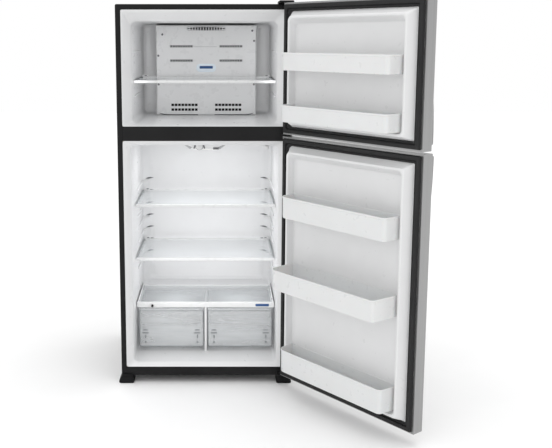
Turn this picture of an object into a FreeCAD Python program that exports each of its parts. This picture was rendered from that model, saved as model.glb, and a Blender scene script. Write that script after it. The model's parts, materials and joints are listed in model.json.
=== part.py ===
"""Top freezer refrigerator, as an assembly of separate pieces.

The origin is on the floor under the middle of the cabinet.  +Z is up, +Y runs from
the doors to the back, and +X is to the right of someone who faces the doors.  Both
doors are hinged on the right and stand open.  They are drawn closed and then turned
about the hinge pins.  All sizes are in millimetres.
"""

import FreeCAD, Part
import math
import os
import re

import Sketcher

from FreeCAD import Placement, Rotation, Vector

SIZES = {
    # cabinet outside
    "half_width": 376, "front": -330, "back": 330, "base": 34, "top": 1676, "sheet": 1,
    # door openings in the face of the cabinet
    "mouth_half": 353, "freezer_sill": 1159, "freezer_lintel": 1653,
    "fridge_sill": 73, "fridge_lintel": 1096, "rail_depth": 12,
    # plastic liners
    "liner": 2.5, "freezer_half": 314, "freezer_floor": 1165, "freezer_ceiling": 1605,
    "freezer_bevel": 52, "liner_rear": 270, "fridge_half": 321, "fridge_floor": 90,
    "fridge_ceiling": 1075, "fridge_bevel": 22, "corner_start": 225, "rear_half": 286,
    "step_face": 120, "step_top": 315,
    # machine compartment behind and under the liner
    "bay_face": 164, "bay_top": 262, "pan_top": 42, "pan_sheet": 2,
    "compressor_side": -200, "compressor_rear": 245, "compressor_radius": 66,
    "condenser_left": 96, "fan_level": 154,
    # rear rollers and front feet
    "roller_radius": 18, "roller_side": 300, "roller_rear": 290, "axle_radius": 4,
    "foot_inner": 320, "foot_outer": 388, "foot_reach": 14, "foot_depth": 62,
    "leg_side": 348, "leg_front": -298, "leg_radius": 6,
    # doors, closed
    "pin_side": 363.5, "pin_front": -368, "pin_radius": 5, "pin_play": 0.08,
    "freezer_door_angle": 127.4, "fridge_door_angle": 128.1,
    "skin_front": -395, "slab_rear": -342, "hem_side": 9, "hem_end": 6.5,
    "freezer_skin_low": 1131, "freezer_skin_high": 1680,
    "fridge_skin_low": 54, "fridge_skin_high": 1122,
    "gasket_width": 30, "gasket_gap": 0.5, "handle_inset": 36,
    "dike_base": 333, "dike_crest": 314, "dike_rear": -306, "dike_rim": 9, "dike_slope": 7,
    # door bins
    "bin_half": 296, "bin_wall": 2.5, "bin_round": 42, "bin_free_round": 18,
    # cover of the evaporator
    "cover_half": 242, "cover_front": 160, "cover_top": 1596, "cover_wall": 3,
    # housing under the fresh food ceiling
    "housing_half": 112, "housing_low": 1037, "dial_side": -25, "dial_level": 1060,
    "lamp_front": -62, "lamp_level": 1049,
    # shelves and drawers
    "shelf_half": 318, "shelf_rear": 222, "trim": 13, "glass": 4,
    "upper_shelf": 787, "lower_shelf": 537, "shelf_front": -178, "rib_pitch": 62.5,
    "freezer_shelf": 1352, "freezer_shelf_front": -226,
    "crisper_lid": 328, "crisper_trim": 24, "crisper_front": -180, "crisper_rear": 108,
    "drawer_side": 312, "drawer_gap": 6.5, "drawer_low": 111, "drawer_high": 301,
    "drawer_wall": 2.5,
}

doc = FreeCAD.newDocument("refrigerator")
sheet = doc.addObject("Spreadsheet::Sheet", "Sizes")
for row, (alias, value) in enumerate(SIZES.items(), start=1):
    sheet.set(f"A{row}", alias)
    sheet.set(f"B{row}", str(value))
    sheet.setAlias(f"B{row}", alias)
doc.recompute()

NODES = {}


# ---------------------------------------------------------------- tools for building


def bound(formula):
    """The formula with each driving dimension written as its cell in the sheet."""
    names = r"[a-z][a-z_]*[a-z]"
    return re.sub(names, lambda m: "Sizes." + m[0] if m[0] in SIZES else m[0], str(formula))


def value_of(formula):
    """The number that a formula of driving dimensions gives."""
    return sheet.evalExpression(bound(formula)) if isinstance(formula, str) else float(formula)


def bind(obj, **formulas):
    for prop, formula in formulas.items():
        obj.setExpression(prop.replace("__", "."), bound(formula))
    return obj


def box(name, xs, ys, zs):
    """A block between two formulas along each axis."""
    obj = doc.addObject("Part::Box", name)
    bind(obj, Placement__Base__x=xs[0], Placement__Base__y=ys[0], Placement__Base__z=zs[0])
    return bind(
        obj,
        Length=f"({xs[1]}) - ({xs[0]})",
        Width=f"({ys[1]}) - ({ys[0]})",
        Height=f"({zs[1]}) - ({zs[0]})",
    )


def across(name, half, ys, zs):
    """A block centred on the middle of the cabinet."""
    return box(name, (f"-({half})", half), ys, zs)


def taper(name, halves, ys, lows, highs):
    """A block centred on X whose front and rear faces differ in size."""
    obj = doc.addObject("Part::Wedge", name)
    return bind(
        obj,
        Xmin=f"-({halves[0]})", Xmax=halves[0], X2min=f"-({halves[1]})", X2max=halves[1],
        Ymin=ys[0], Ymax=ys[1],
        Zmin=lows[0], Zmax=highs[0], Z2min=lows[1], Z2max=highs[1],
    )


AXES = {
    "x": Rotation(Vector(0, 1, 0), 90),
    "y": Rotation(Vector(1, 0, 0), -90),
    "z": Rotation(),
}


def rod(name, axis, radius, length, at):
    """A cylinder that starts at a point and runs along a positive axis."""
    obj = doc.addObject("Part::Cylinder", name)
    obj.Placement = Placement(Vector(), AXES[axis])
    bind(obj, Radius=radius, Height=length)
    return bind(obj, Placement__Base__x=at[0], Placement__Base__y=at[1], Placement__Base__z=at[2])


def fuse(name, pieces):
    obj = doc.addObject("Part::MultiFuse", name)
    obj.Shapes = pieces
    obj.Refine = True
    return obj


def cut(name, base, tools):
    obj = doc.addObject("Part::Cut", name)
    obj.Base = base
    obj.Tool = tools[0] if len(tools) == 1 else fuse(name + "_tools", tools)
    obj.Refine = False
    return obj


def group(name, pieces):
    obj = doc.addObject("Part::Compound", name)
    obj.Links = pieces
    return obj


def rounded(name, base, radius, chosen):
    """The base with the chosen edges rounded.  chosen reads an edge's two end points."""
    doc.recompute()
    obj = doc.addObject("Part::Fillet", name)
    obj.Base = base
    picked = []
    for number, edge in enumerate(base.Shape.Edges, start=1):
        ends = [v.Point for v in edge.Vertexes]
        if len(ends) == 2 and chosen(*ends):
            picked.append((number, radius, radius))
    if not picked:
        raise RuntimeError(f"{name}: no edge was chosen")
    obj.Edges = picked
    return obj


def upright(first, second):
    """True for an edge that runs mostly up and down."""
    lean = max(abs(first.x - second.x), abs(first.y - second.y))
    return lean < 20 < abs(first.z - second.z)


def node(obj, name, placement=None):
    """Names a finished piece, which becomes parts/NAME.step."""
    obj.Label = name
    if placement is not None:
        obj.Placement = placement
    NODES[name] = obj
    return obj


def plane_of(body, role):
    return next(feature for feature in body.Origin.OriginFeatures if feature.Role == role)


def sketch_on(body, role, offset, name):
    sketch = body.newObject("Sketcher::SketchObject", name)
    sketch.AttachmentSupport = (plane_of(body, role), "")
    sketch.MapMode = "FlatFace"
    bind(sketch, AttachmentOffset__Base__z=offset)
    return sketch


def draw_outline(sketch, corners):
    """A closed outline of straight lines whose corners are held by named dimensions."""
    spots = [Vector(value_of(x), value_of(y), 0) for x, y in corners]
    first = sketch.GeometryCount
    count = len(spots)
    for i in range(count):
        sketch.addGeometry(Part.LineSegment(spots[i], spots[(i + 1) % count]), False)
    for i in range(count):
        after = first + (i + 1) % count
        sketch.addConstraint(Sketcher.Constraint("Coincident", first + i, 2, after, 1))
    for i, (x, y) in enumerate(corners):
        for kind, formula in (("DistanceX", x), ("DistanceY", y)):
            number = sketch.addConstraint(
                Sketcher.Constraint(kind, -1, 1, first + i, 1, value_of(formula))
            )
            label = f"{kind}_{first + i}"
            sketch.renameConstraint(number, label)
            sketch.setExpression(f"Constraints.{label}", bound(formula))


def pad(body, sketch, length, name):
    feature = body.newObject("PartDesign::Pad", name)
    feature.Profile = sketch
    bind(feature, Length=length)
    return feature


def corners_of(half, low, high):
    return [(f"-({half})", low), (half, low), (half, high), (f"-({half})", high)]


def ring(name, half, zs, width, ys):
    """A flat rectangular frame in the plane of the doors, drawn as one sketch and padded."""
    body = doc.addObject("PartDesign::Body", name)
    sketch = sketch_on(body, "XZ_Plane", f"-({ys[1]})", name + "_outline")
    draw_outline(sketch, corners_of(half, zs[0], zs[1]))
    inner = corners_of(f"({half}) - ({width})", f"({zs[0]}) + ({width})", f"({zs[1]}) - ({width})")
    draw_outline(sketch, inner)
    pad(body, sketch, f"({ys[1]}) - ({ys[0]})", name + "_pad")
    return body


def door_placement(angle):
    """The turn from closed to open about the line of the hinge pins."""
    pin = Vector(SIZES["pin_side"], SIZES["pin_front"], 0)
    return Placement(Vector(), Rotation(Vector(0, 0, 1), SIZES[angle]), pin)


# ---------------------------------------------------------------- cabinet


def build_shell():
    outer = across("shell_outer", "half_width", ("front", "back"), ("base", "top"))
    hollow = across("shell_hollow", "half_width - sheet", ("front + sheet", "back + 1"),
                    ("base - 1", "top - sheet"))
    mouth = across("shell_mouth", "mouth_half", ("front - 1", "front + 2 * sheet"),
                   ("base - 1", "freezer_lintel"))
    node(cut("cabinet_shell_cut", outer, [hollow, mouth]), "cabinet_shell")
    node(across("back_panel_sheet", "half_width - sheet", ("back - sheet", "back"),
                ("bay_top", "top - sheet")), "back_panel")


def build_machine_cover():
    """The board over the machine compartment, with rows of air slots."""
    board = across("cover_board", "half_width - sheet", ("back - 2", "back"),
                   ("pan_top", "bay_top"))
    slots = []
    for row in range(5):
        for column in range(9):
            x = -240 + 60 * column
            z = 90 + 28 * row
            slots.append(box(f"cover_slot_{row}_{column}", (x - 22, x + 22),
                             ("back - 3", "back + 1"), (z - 4, z + 4)))
    node(cut("machine_cover_cut", board, slots), "machine_cover")


def build_base():
    """The base pan with its four roller brackets, the front rail and the front feet."""
    pan = across("base_pan", "half_width - sheet", ("front + rail_depth", "back"),
                 ("pan_top - pan_sheet", "pan_top"))
    brackets = []
    for side in (-1, 1):
        for offset in (-14, 12):
            x = f"{side} * roller_side + {offset}"
            brackets.append(box(f"bracket_{side}_{offset}", (x, x + " + pan_sheet"),
                                ("roller_rear - 24", "roller_rear + 24"),
                                (8, "pan_top - pan_sheet")))
    bores = [rod("bracket_bore", "x", "axle_radius + 0.1", "2 * roller_side + 40",
                 ("-roller_side - 20", "roller_rear", "roller_radius"))]
    node(cut("base_frame_cut", fuse("base_frame_solid", [pan] + brackets), bores), "base_frame")

    face = across("rail_face", "mouth_half", ("front", "front + sheet"), ("base", "fridge_sill"))
    rail = across("rail_solid", "mouth_half", ("front + sheet", "front + rail_depth"),
                  ("base", "fridge_sill - 4"))
    channel = across("rail_channel", "mouth_half - 2", ("front + sheet", "front + rail_depth + 1"),
                     ("base + 2", "fridge_sill - 6"))
    node(fuse("bottom_rail_solid", [face, cut("rail_cut", rail, [channel])]), "bottom_rail")


def foot(side):
    """One boot-shaped foot, flared past the side of the cabinet, with a leg bore."""
    def span(inner, outer):
        return (inner, outer) if side > 0 else (f"-({outer})", f"-({inner})")

    boot = box(f"boot_{side}", span("foot_inner", "foot_outer"),
               ("front - foot_reach", "front + foot_depth"), (0, "pan_top - pan_sheet"))
    soft = rounded(f"boot_round_{side}", boot, 9,
                   lambda a, b: max(a.z, b.z) < 1 or (upright(a, b) and a.y < SIZES["front"]))
    notch = box(f"boot_notch_{side}", span("foot_inner - 1", "half_width + 0.5"),
                ("front - 0.5", "front + foot_depth + 1"), ("base - 0.5", "pan_top"))
    bore = rod(f"boot_bore_{side}", "z", "leg_radius + 0.2", 60,
               (f"{side} * leg_side", "leg_front", 6))
    return cut(f"foot_{side}", soft, [notch, bore])


def leg(side):
    """The shank of a levelling leg, inside its boot."""
    return rod(f"leg_shank_{side}", "z", "leg_radius", 26, (f"{side} * leg_side", "leg_front", 7))


def build_feet():
    node(group("feet", [foot(-1), foot(1)]), "foot_covers")
    node(group("legs", [leg(-1), leg(1)]), "levelling_legs")
    wheels = []
    for side in (-1, 1):
        wheel = rod(f"wheel_{side}", "x", "roller_radius", 20,
                    (f"{side} * roller_side - 10", "roller_rear", "roller_radius"))
        groove = doc.addObject("Part::Torus", f"wheel_groove_{side}")
        middle = Vector(side * SIZES["roller_side"], SIZES["roller_rear"], SIZES["roller_radius"])
        groove.Placement = Placement(middle, AXES["x"])
        bind(groove, Radius1="roller_radius + 2", Radius2=4)
        wheels.append(cut(f"wheel_cut_{side}", wheel, [groove]))
    axle = rod("axle", "x", "axle_radius", "2 * roller_side + 28",
               ("-roller_side - 14", "roller_rear", "roller_radius"))
    node(fuse("rollers", wheels + [axle]), "rear_rollers")


def build_mullion():
    """The steel bar between the two openings: a face sheet and a stiffening channel."""
    face = across("mullion_face", "mouth_half", ("front", "front + sheet"),
                  ("fridge_lintel", "freezer_sill"))
    outer = across("mullion_channel", "mouth_half - 3", ("front + sheet", "front + 17"),
                   ("fridge_lintel + 9", "freezer_sill - 9"))
    hollow = across("mullion_hollow", "mouth_half - 5", ("front + sheet", "front + 18"),
                    ("fridge_lintel + 11", "freezer_sill - 11"))
    channel = cut("mullion_bar", outer, [hollow])
    node(fuse("mullion_solid", [face, channel]), "center_mullion")
    return outer


def build_freezer_liner():
    """The freezer's tub: a bevelled mouth and a straight body, with shelf ribs."""
    mouth_y = ("front + sheet", "front + freezer_bevel")
    outer = fuse("freezer_outer", [
        taper("freezer_outer_mouth", ("mouth_half + liner", "freezer_half + liner"), mouth_y,
              ("freezer_sill - liner", "freezer_floor - liner"),
              ("freezer_lintel + liner", "freezer_ceiling + liner")),
        across("freezer_outer_body", "freezer_half + liner",
               ("front + freezer_bevel", "liner_rear + liner"),
               ("freezer_floor - liner", "freezer_ceiling + liner")),
    ])
    inner = fuse("freezer_inner", [
        taper("freezer_inner_mouth", ("mouth_half", "freezer_half"), mouth_y,
              ("freezer_sill", "freezer_floor"), ("freezer_lintel", "freezer_ceiling")),
        across("freezer_inner_body", "freezer_half", ("front + freezer_bevel", "liner_rear"),
               ("freezer_floor", "freezer_ceiling")),
    ])
    tub = cut("freezer_tub", outer, [inner])
    ribs = []
    for level in (1478, "freezer_shelf - trim", 1283):
        for side in (-1, 1):
            xs = ("freezer_half - 7", "freezer_half") if side > 0 else (
                "-freezer_half", "-freezer_half + 7")
            ribs.append(box(f"freezer_rib_{side}", xs, (-190, 60), (f"{level} - 7", level)))
    node(fuse("freezer_liner_solid", [tub] + ribs), "freezer_liner")
    return outer


def fridge_cavity(name, grow):
    """The fresh food space, with chamfered rear corners and a step over the compressor."""
    half = f"fridge_half + {grow}"
    low, high = f"fridge_floor - {grow}", f"fridge_ceiling + {grow}"
    step = f"step_top - {grow}"
    return fuse(name, [
        taper(name + "_mouth", (f"mouth_half + {grow}", half),
              ("front + sheet", "front + fridge_bevel"),
              (f"fridge_sill - {grow}", low), (f"fridge_lintel + {grow}", high)),
        across(name + "_front", half, ("front + fridge_bevel", f"step_face + {grow}"),
               (low, high)),
        across(name + "_upper", half, (f"step_face + {grow}", "corner_start"), (step, high)),
        taper(name + "_corners", (half, f"rear_half + {grow}"),
              ("corner_start", f"liner_rear + {grow}"), (step, step), (high, high)),
    ])


def build_fridge_liner():
    outer = fridge_cavity("fridge_outer", "liner")
    inner = fridge_cavity("fridge_inner", "0")
    tub = cut("fridge_tub", outer, [inner])
    ribs = []
    for step in range(-1, 6):
        ledge = f"upper_shelf - trim - {step} * rib_pitch"
        for side in (-1, 1):
            xs = ("fridge_half - 8", "fridge_half") if side > 0 else (
                "-fridge_half", "-fridge_half + 8")
            ribs.append(box(f"fridge_rib_{step}_{side}", xs, (-60, "corner_start - 5"),
                            (f"{ledge} - 8", ledge)))
    boss = box("switch_boss", (258, 282), ("front + 34", "front + 70"),
               (1055, "fridge_ceiling + 1"))
    bore = box("switch_bore", (263.5, 276.5), ("front + 33", "front + 64"), (1058.5, 1071.5))
    switch_boss = cut("switch_boss_cut", boss, [bore])
    node(fuse("fridge_liner_solid", [tub] + ribs + [switch_boss]), "fridge_liner")
    return outer


def build_insulation(hollows):
    """The foam between the liners and the steel shell, with the machine bay left open."""
    block = across("foam_block", "half_width - sheet", ("front + sheet", "back - sheet"),
                   ("pan_top", "top - sheet"))
    bay = across("foam_bay", "half_width", ("bay_face - sheet", "back + 1"),
                 ("pan_top - 1", "bay_top"))
    rail = across("foam_rail", "mouth_half + 0.5", ("front", "front + rail_depth"),
                  ("pan_top - 1", "fridge_sill"))
    node(cut("foam_cut", block, hollows + [bay, rail]), "cabinet_insulation")
    wall = across("bay_wall", "half_width - sheet", ("bay_face - sheet", "back - 2"),
                  ("pan_top", "bay_top"))
    inside = across("bay_inside", "half_width", ("bay_face", "back"),
                    ("pan_top - 1", "bay_top - sheet"))
    node(cut("bay_wall_cut", wall, [inside]), "compartment_wall")


# ---------------------------------------------------------------- freezer inside


SLOT_DEPTH = ("cover_front - 1", "cover_front + cover_wall + 1")


def slot_row(name, center, width, low, high, count, web):
    """A row of short upright slots through the evaporator cover."""
    pitch = width / count
    slots = []
    for i in range(count):
        x = center - width / 2 + pitch * i
        slots.append(box(f"{name}_{i}", (x + web / 2, x + pitch - web / 2),
                         SLOT_DEPTH, (low, high)))
    return slots


def build_evaporator():
    """The cover at the back of the freezer, and the coil, heater and fan behind it."""
    outer = across("cover_outer", "cover_half", ("cover_front", "liner_rear"),
                   ("freezer_floor", "cover_top"))
    soft = rounded("cover_soft", outer, 8,
                   lambda a, b: max(a.y, b.y) < SIZES["cover_front"] + 1)
    hollow = across("cover_hollow", "cover_half - cover_wall",
                    ("cover_front + cover_wall", "liner_rear + 1"),
                    ("freezer_floor - 1", "cover_top - cover_wall"))
    slots = []
    half_oval, oval_reach, pitch, oval_level = 91, 7.5, 13, SIZES["cover_top"] - 16
    for i in range(14):
        x = -half_oval + pitch * (i + 0.5)
        reach = oval_reach * math.sqrt(1 - (x / half_oval) ** 2)
        slots.append(box(f"oval_{i}", (x - 4.5, x + 4.5), SLOT_DEPTH,
                         (oval_level - reach, oval_level + reach)))
    for side in (-1, 1):
        for level in (1496, 1428):
            slots += slot_row(f"louvre_{level}_{side}", side * 119, 108, level - 4, level + 4, 9, 2)
        for level in (1215, 1192):
            slots += slot_row(f"return_{level}_{side}", side * 106, 130, level - 6, level + 6, 8, 3)
    node(cut("evaporator_cover_cut", soft, [hollow] + slots), "evaporator_cover")

    fins = [across(f"fin_{i}", 190, (188, 252), (1200 + 9 * i, 1200.8 + 9 * i))
            for i in range(18)]
    tubes = [rod(f"coil_tube_{i}", "z", 4, 170, (-170 + 34 * i, 220, 1196)) for i in range(11)]
    node(fuse("evaporator_fins", fins + tubes), "evaporator_coil")
    node(rod("heater_tube", "x", 3.5, 380, (-190, 220, 1182)), "defrost_heater")

    motor = rod("fan_motor_can", "y", 26, 40, (0, 218, 1470))
    plate = across("fan_motor_plate", 70, (258, "liner_rear"), (1440, 1500))
    node(fuse("fan_motor_solid", [motor, plate]), "evaporator_fan_motor")
    node(fan("evaporator_fan_solid", (0, 188, 1470), 52, 16), "evaporator_fan")


def fan(name, at, radius, depth):
    """A hub with five pitched blades that turns about Y, with its shaft to the rear."""
    x, y, z = at
    pieces = [rod(name + "_hub", "y", 14, depth, at), rod(name + "_shaft", "y", 2.5, 28.5, at)]
    for i in range(5):
        blade = doc.addObject("Part::Box", f"{name}_blade_{i}")
        bind(blade, Length=radius - 10, Width=1.5, Height=30)
        pitch = Rotation(Vector(1, 0, 0), 30)
        turn = Rotation(Vector(0, 1, 0), 72 * i)
        spin = Placement(Vector(x, y + depth / 2, z), turn)
        blade.Placement = spin.multiply(Placement(Vector(10, 0, 0), pitch)).multiply(
            Placement(Vector(0, -0.75, -15), Rotation()))
        pieces.append(blade)
    return fuse(name, pieces)


def shelf_frame(name, half, level, front, rear, trim, border):
    """A shelf's rim: a rectangular frame with a seat for the glass and a taller front."""
    outer = across(name + "_outer", half, (front, rear), (f"{level} - {trim}", level))
    through = across(name + "_through", f"{half} - {border}",
                     (f"{front} + {border} + 4", f"{rear} - {border}"),
                     (f"{level} - {trim} - 1", f"{level} + 1"))
    seat = across(name + "_seat", f"{half} - 4", (f"{front} + 10", f"{rear} - 4"),
                  (f"{level} - glass", f"{level} + 1"))
    return cut(name, rounded(name + "_soft", outer, 4,
                             lambda a, b: max(a.y, b.y) < value_of(front) + 1 and
                             abs(a.z - b.z) < 1), [through, seat])


def shelf_pane(name, half, level, front, rear):
    return across(name, f"{half} - 4", (f"{front} + 10", f"{rear} - 4"),
                  (f"{level} - glass", level))


def build_shelves():
    frames, panes = [], []
    for name in ("upper_shelf", "lower_shelf"):
        frames.append(shelf_frame(name + "_frame", "shelf_half", name, "shelf_front",
                                  "shelf_rear", "trim", 14))
        panes.append(shelf_pane(name + "_pane", "shelf_half", name, "shelf_front", "shelf_rear"))
    node(group("shelf_frame_pair", frames), "shelf_frames")
    node(group("shelf_pane_pair", panes), "shelf_glass")

    half = "freezer_half - 1"
    node(shelf_frame("freezer_shelf_rim", half, "freezer_shelf", "freezer_shelf_front", 150,
                     "trim", 12), "freezer_shelf_frame")
    node(shelf_pane("freezer_shelf_pane", half, "freezer_shelf", "freezer_shelf_front", 150),
         "freezer_shelf_glass")


# ---------------------------------------------------------------- fridge inside


def build_crispers():
    """The glass lid with its frame and centre support, and two drawers under it."""
    rim = shelf_frame("crisper_rim", "shelf_half", "crisper_lid", "crisper_front - 6",
                      "crisper_rear + 8", "crisper_trim", 16)
    web = across("crisper_web", 2.5, ("crisper_front + 12", "crisper_rear"),
                 ("fridge_floor", "crisper_lid - 14"))
    slider_bed = box("slider_bed", (-262, -196), ("crisper_front - 7", "crisper_front - 3"),
                     ("crisper_lid - 21", "crisper_lid - 9"))
    node(cut("crisper_cover_cut", fuse("crisper_cover_solid", [rim, web]), [slider_bed]),
         "crisper_cover_frame")
    node(shelf_pane("crisper_pane", "shelf_half", "crisper_lid", "crisper_front - 6",
                    "crisper_rear + 8"), "crisper_cover_glass")
    knob = rod("slider_knob", "y", 5.4, 9.4, (-246, "crisper_front - 13", "crisper_lid - 15"))
    node(knob, "humidity_slider")
    for name, side in (("left_crisper", -1), ("right_crisper", 1)):
        node(drawer(name, side), name)


def drawer(name, side):
    """An open clear box with round corners, a finger lip and a thick rim."""
    def span(inner, outer):
        return (inner, outer) if side > 0 else (f"-({outer})", f"-({inner})")

    outer = box(name + "_outer", span("drawer_gap", "drawer_side"),
                ("crisper_front", "crisper_rear"), ("drawer_low", "drawer_high"))
    soft = rounded(name + "_soft", outer, 14,
                   lambda a, b: upright(a, b) or max(a.z, b.z) < SIZES["drawer_low"] + 1)
    hollow = box(name + "_hollow", span("drawer_gap + drawer_wall", "drawer_side - drawer_wall"),
                 ("crisper_front + drawer_wall", "crisper_rear - drawer_wall"),
                 ("drawer_low + drawer_wall", "drawer_high + 20"))
    round_hollow = rounded(name + "_hollow_soft", hollow, 11.5,
                           lambda a, b: upright(a, b) or
                           max(a.z, b.z) < SIZES["drawer_low"] + 4)
    grip = box(name + "_grip", span("drawer_gap + 22", "drawer_side - 22"),
               ("crisper_front - 10", "crisper_front + 1"), ("drawer_high - 9", "drawer_high - 3"))
    soft_grip = rounded(name + "_grip_soft", grip, 2.5,
                        lambda a, b: abs(a.x - b.x) > 20 and max(a.y, b.y) < SIZES["crisper_front"])
    return fuse(name, [cut(name + "_box", soft, [round_hollow]), soft_grip])


def build_controls():
    """The ceiling housing with the light, the temperature dial and the door switch."""
    housing = taper("housing_solid", ("housing_half", "housing_half - 16"),
                    ("front + 114", "front + 340"), ("housing_low + 6", "housing_low"),
                    ("fridge_ceiling", "fridge_ceiling"))
    soft = rounded("housing_soft", housing, 9, lambda a, b: upright(a, b) or
                   (abs(a.x - b.x) > 20 and max(a.z, b.z) < 1050))
    hollow = across("housing_hollow", "housing_half - 26", ("front + 190", "front + 332"),
                    ("housing_low - 7", "fridge_ceiling - 3"))
    dial_bore = rod("dial_bore", "y", 4.1, 90, ("dial_side", "front + 110", "dial_level"))
    node(cut("housing_cut", soft, [hollow, dial_bore]), "control_housing")
    bulb = doc.addObject("Part::Sphere", "bulb")
    bulb.Placement = Placement(Vector(0, SIZES["lamp_front"], SIZES["lamp_level"]), Rotation())
    bind(bulb, Radius=21)
    neck = rod("bulb_neck", "y", 13, 47, (0, "lamp_front", "lamp_level"))
    node(fuse("lamp_solid", [bulb, neck]), "lamp")
    socket = rod("socket_barrel", "y", 17, 17, (0, "lamp_front + 47", "lamp_level + 5"))
    node(socket, "lamp_socket")

    dial = rod("dial_face", "y", 15, 12, ("dial_side", "front + 101.5", "dial_level"))
    ridge = box("dial_ridge", ("dial_side - 2", "dial_side + 2"), ("front + 96", "front + 102"),
                ("dial_level - 13", "dial_level + 13"))
    stem = rod("dial_stem", "y", 4, 50, ("dial_side", "front + 110", "dial_level"))
    node(fuse("dial_solid", [dial, ridge, stem]), "temperature_dial")
    plunger = box("plunger_block", (264, 276), ("front + 24.5", "front + 56"), (1059, 1071))
    node(rounded("plunger_soft", plunger, 2.5,
                 lambda a, b: max(a.y, b.y) < SIZES["front"] + 25), "door_light_switch")


# ---------------------------------------------------------------- machine compartment


def build_machinery():
    """Compressor, condenser, fan, pans and the power inlet in the bay at the back."""
    side, rear = SIZES["compressor_side"], SIZES["compressor_rear"]
    shell_low, shell_high = 76, 166
    can = rod("compressor_can", "z", "compressor_radius", shell_high - shell_low,
              ("compressor_side", "compressor_rear", shell_low))
    dome = doc.addObject("Part::Ellipsoid", "compressor_dome")
    dome.Placement = Placement(Vector(side, rear, shell_high), Rotation())
    belly = doc.addObject("Part::Ellipsoid", "compressor_belly")
    belly.Placement = Placement(Vector(side, rear, shell_low), Rotation(Vector(1, 0, 0), 180))
    for end, height in ((dome, 46), (belly, 22)):
        bind(end, Radius1=height, Radius2="compressor_radius", Radius3="compressor_radius", Angle1=0)
    plate = box("compressor_plate", (side - 88, side + 88), (rear - 55, rear + 55), (55, 58))
    relay = box("relay_box", (side + 64, side + 88), (rear - 23, rear + 23), (96, 150))
    stub = rod("suction_stub", "x", 4, 70, (side - 130, rear, 150))
    node(fuse("compressor_solid", [can, dome, belly, plate, relay, stub]), "compressor")
    mounts = [rod(f"grommet_{x}_{y}", "z", 10, 13, (side + x, rear + y, "pan_top"))
              for x in (-76, 76) for y in (-43, 43)]
    node(group("grommets", mounts), "compressor_mounts")

    fin_pitch, fin_count = 8, 22
    fins = []
    for i in range(fin_count):
        left = f"condenser_left + {fin_pitch * i}"
        fins.append(box(f"condenser_fin_{i}", (left, left + " + 1"), (182, 302), (84, 224)))
    tubes = [rod(f"condenser_tube_{y}_{z}", "x", 3, fin_pitch * fin_count + 14,
                 ("condenser_left - 11", y, f"fan_level + {z}"))
             for y in (200, 242, 284) for z in (-54, -27, 0, 27, 54)]
    node(fuse("condenser_solid", fins + tubes), "condenser_coil")
    node(fan("condenser_fan_solid", (0, 190, SIZES["fan_level"]), 62, 18), "condenser_fan")
    motor = rod("condenser_motor_can", "y", 24, 36, (0, 222, "fan_level"))
    stand = across("condenser_motor_stand", 12, (228, 250), ("pan_top", "fan_level - 14"))
    node(fuse("condenser_motor", [motor, stand]), "condenser_fan_motor")
    pan = box("pan_outer", (90, 300), (178, 306), ("pan_top", 80))
    pan_hollow = box("pan_hollow", (92.5, 297.5), (180.5, 303.5), ("pan_top + 2.5", 81))
    node(cut("drain_pan_cut", pan, [pan_hollow]), "drain_pan")
    gland = box("inlet_block", (-362, -326), (296, "back - 2"), (60, 90))
    recess = box("inlet_recess", (-357, -331), (310, "back"), (64, 86))
    node(cut("inlet_cut", gland, [recess]), "power_inlet")


# ---------------------------------------------------------------- hinges

PIN = ("pin_side", "pin_front")


def bolt(name, x, y, z, down=True):
    """A hexagon-washer screw head that lies on a plate."""
    washer = rod(name + "_washer", "z", 7, 1.2, (x, y, z))
    head = doc.addObject("Part::Prism", name + "_head")
    head.Polygon = 6
    head.Placement = Placement(Vector(x, y, z + 1.2), Rotation())
    bind(head, Circumradius=4.8, Height=3)
    return fuse(name, [washer, head])


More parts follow.
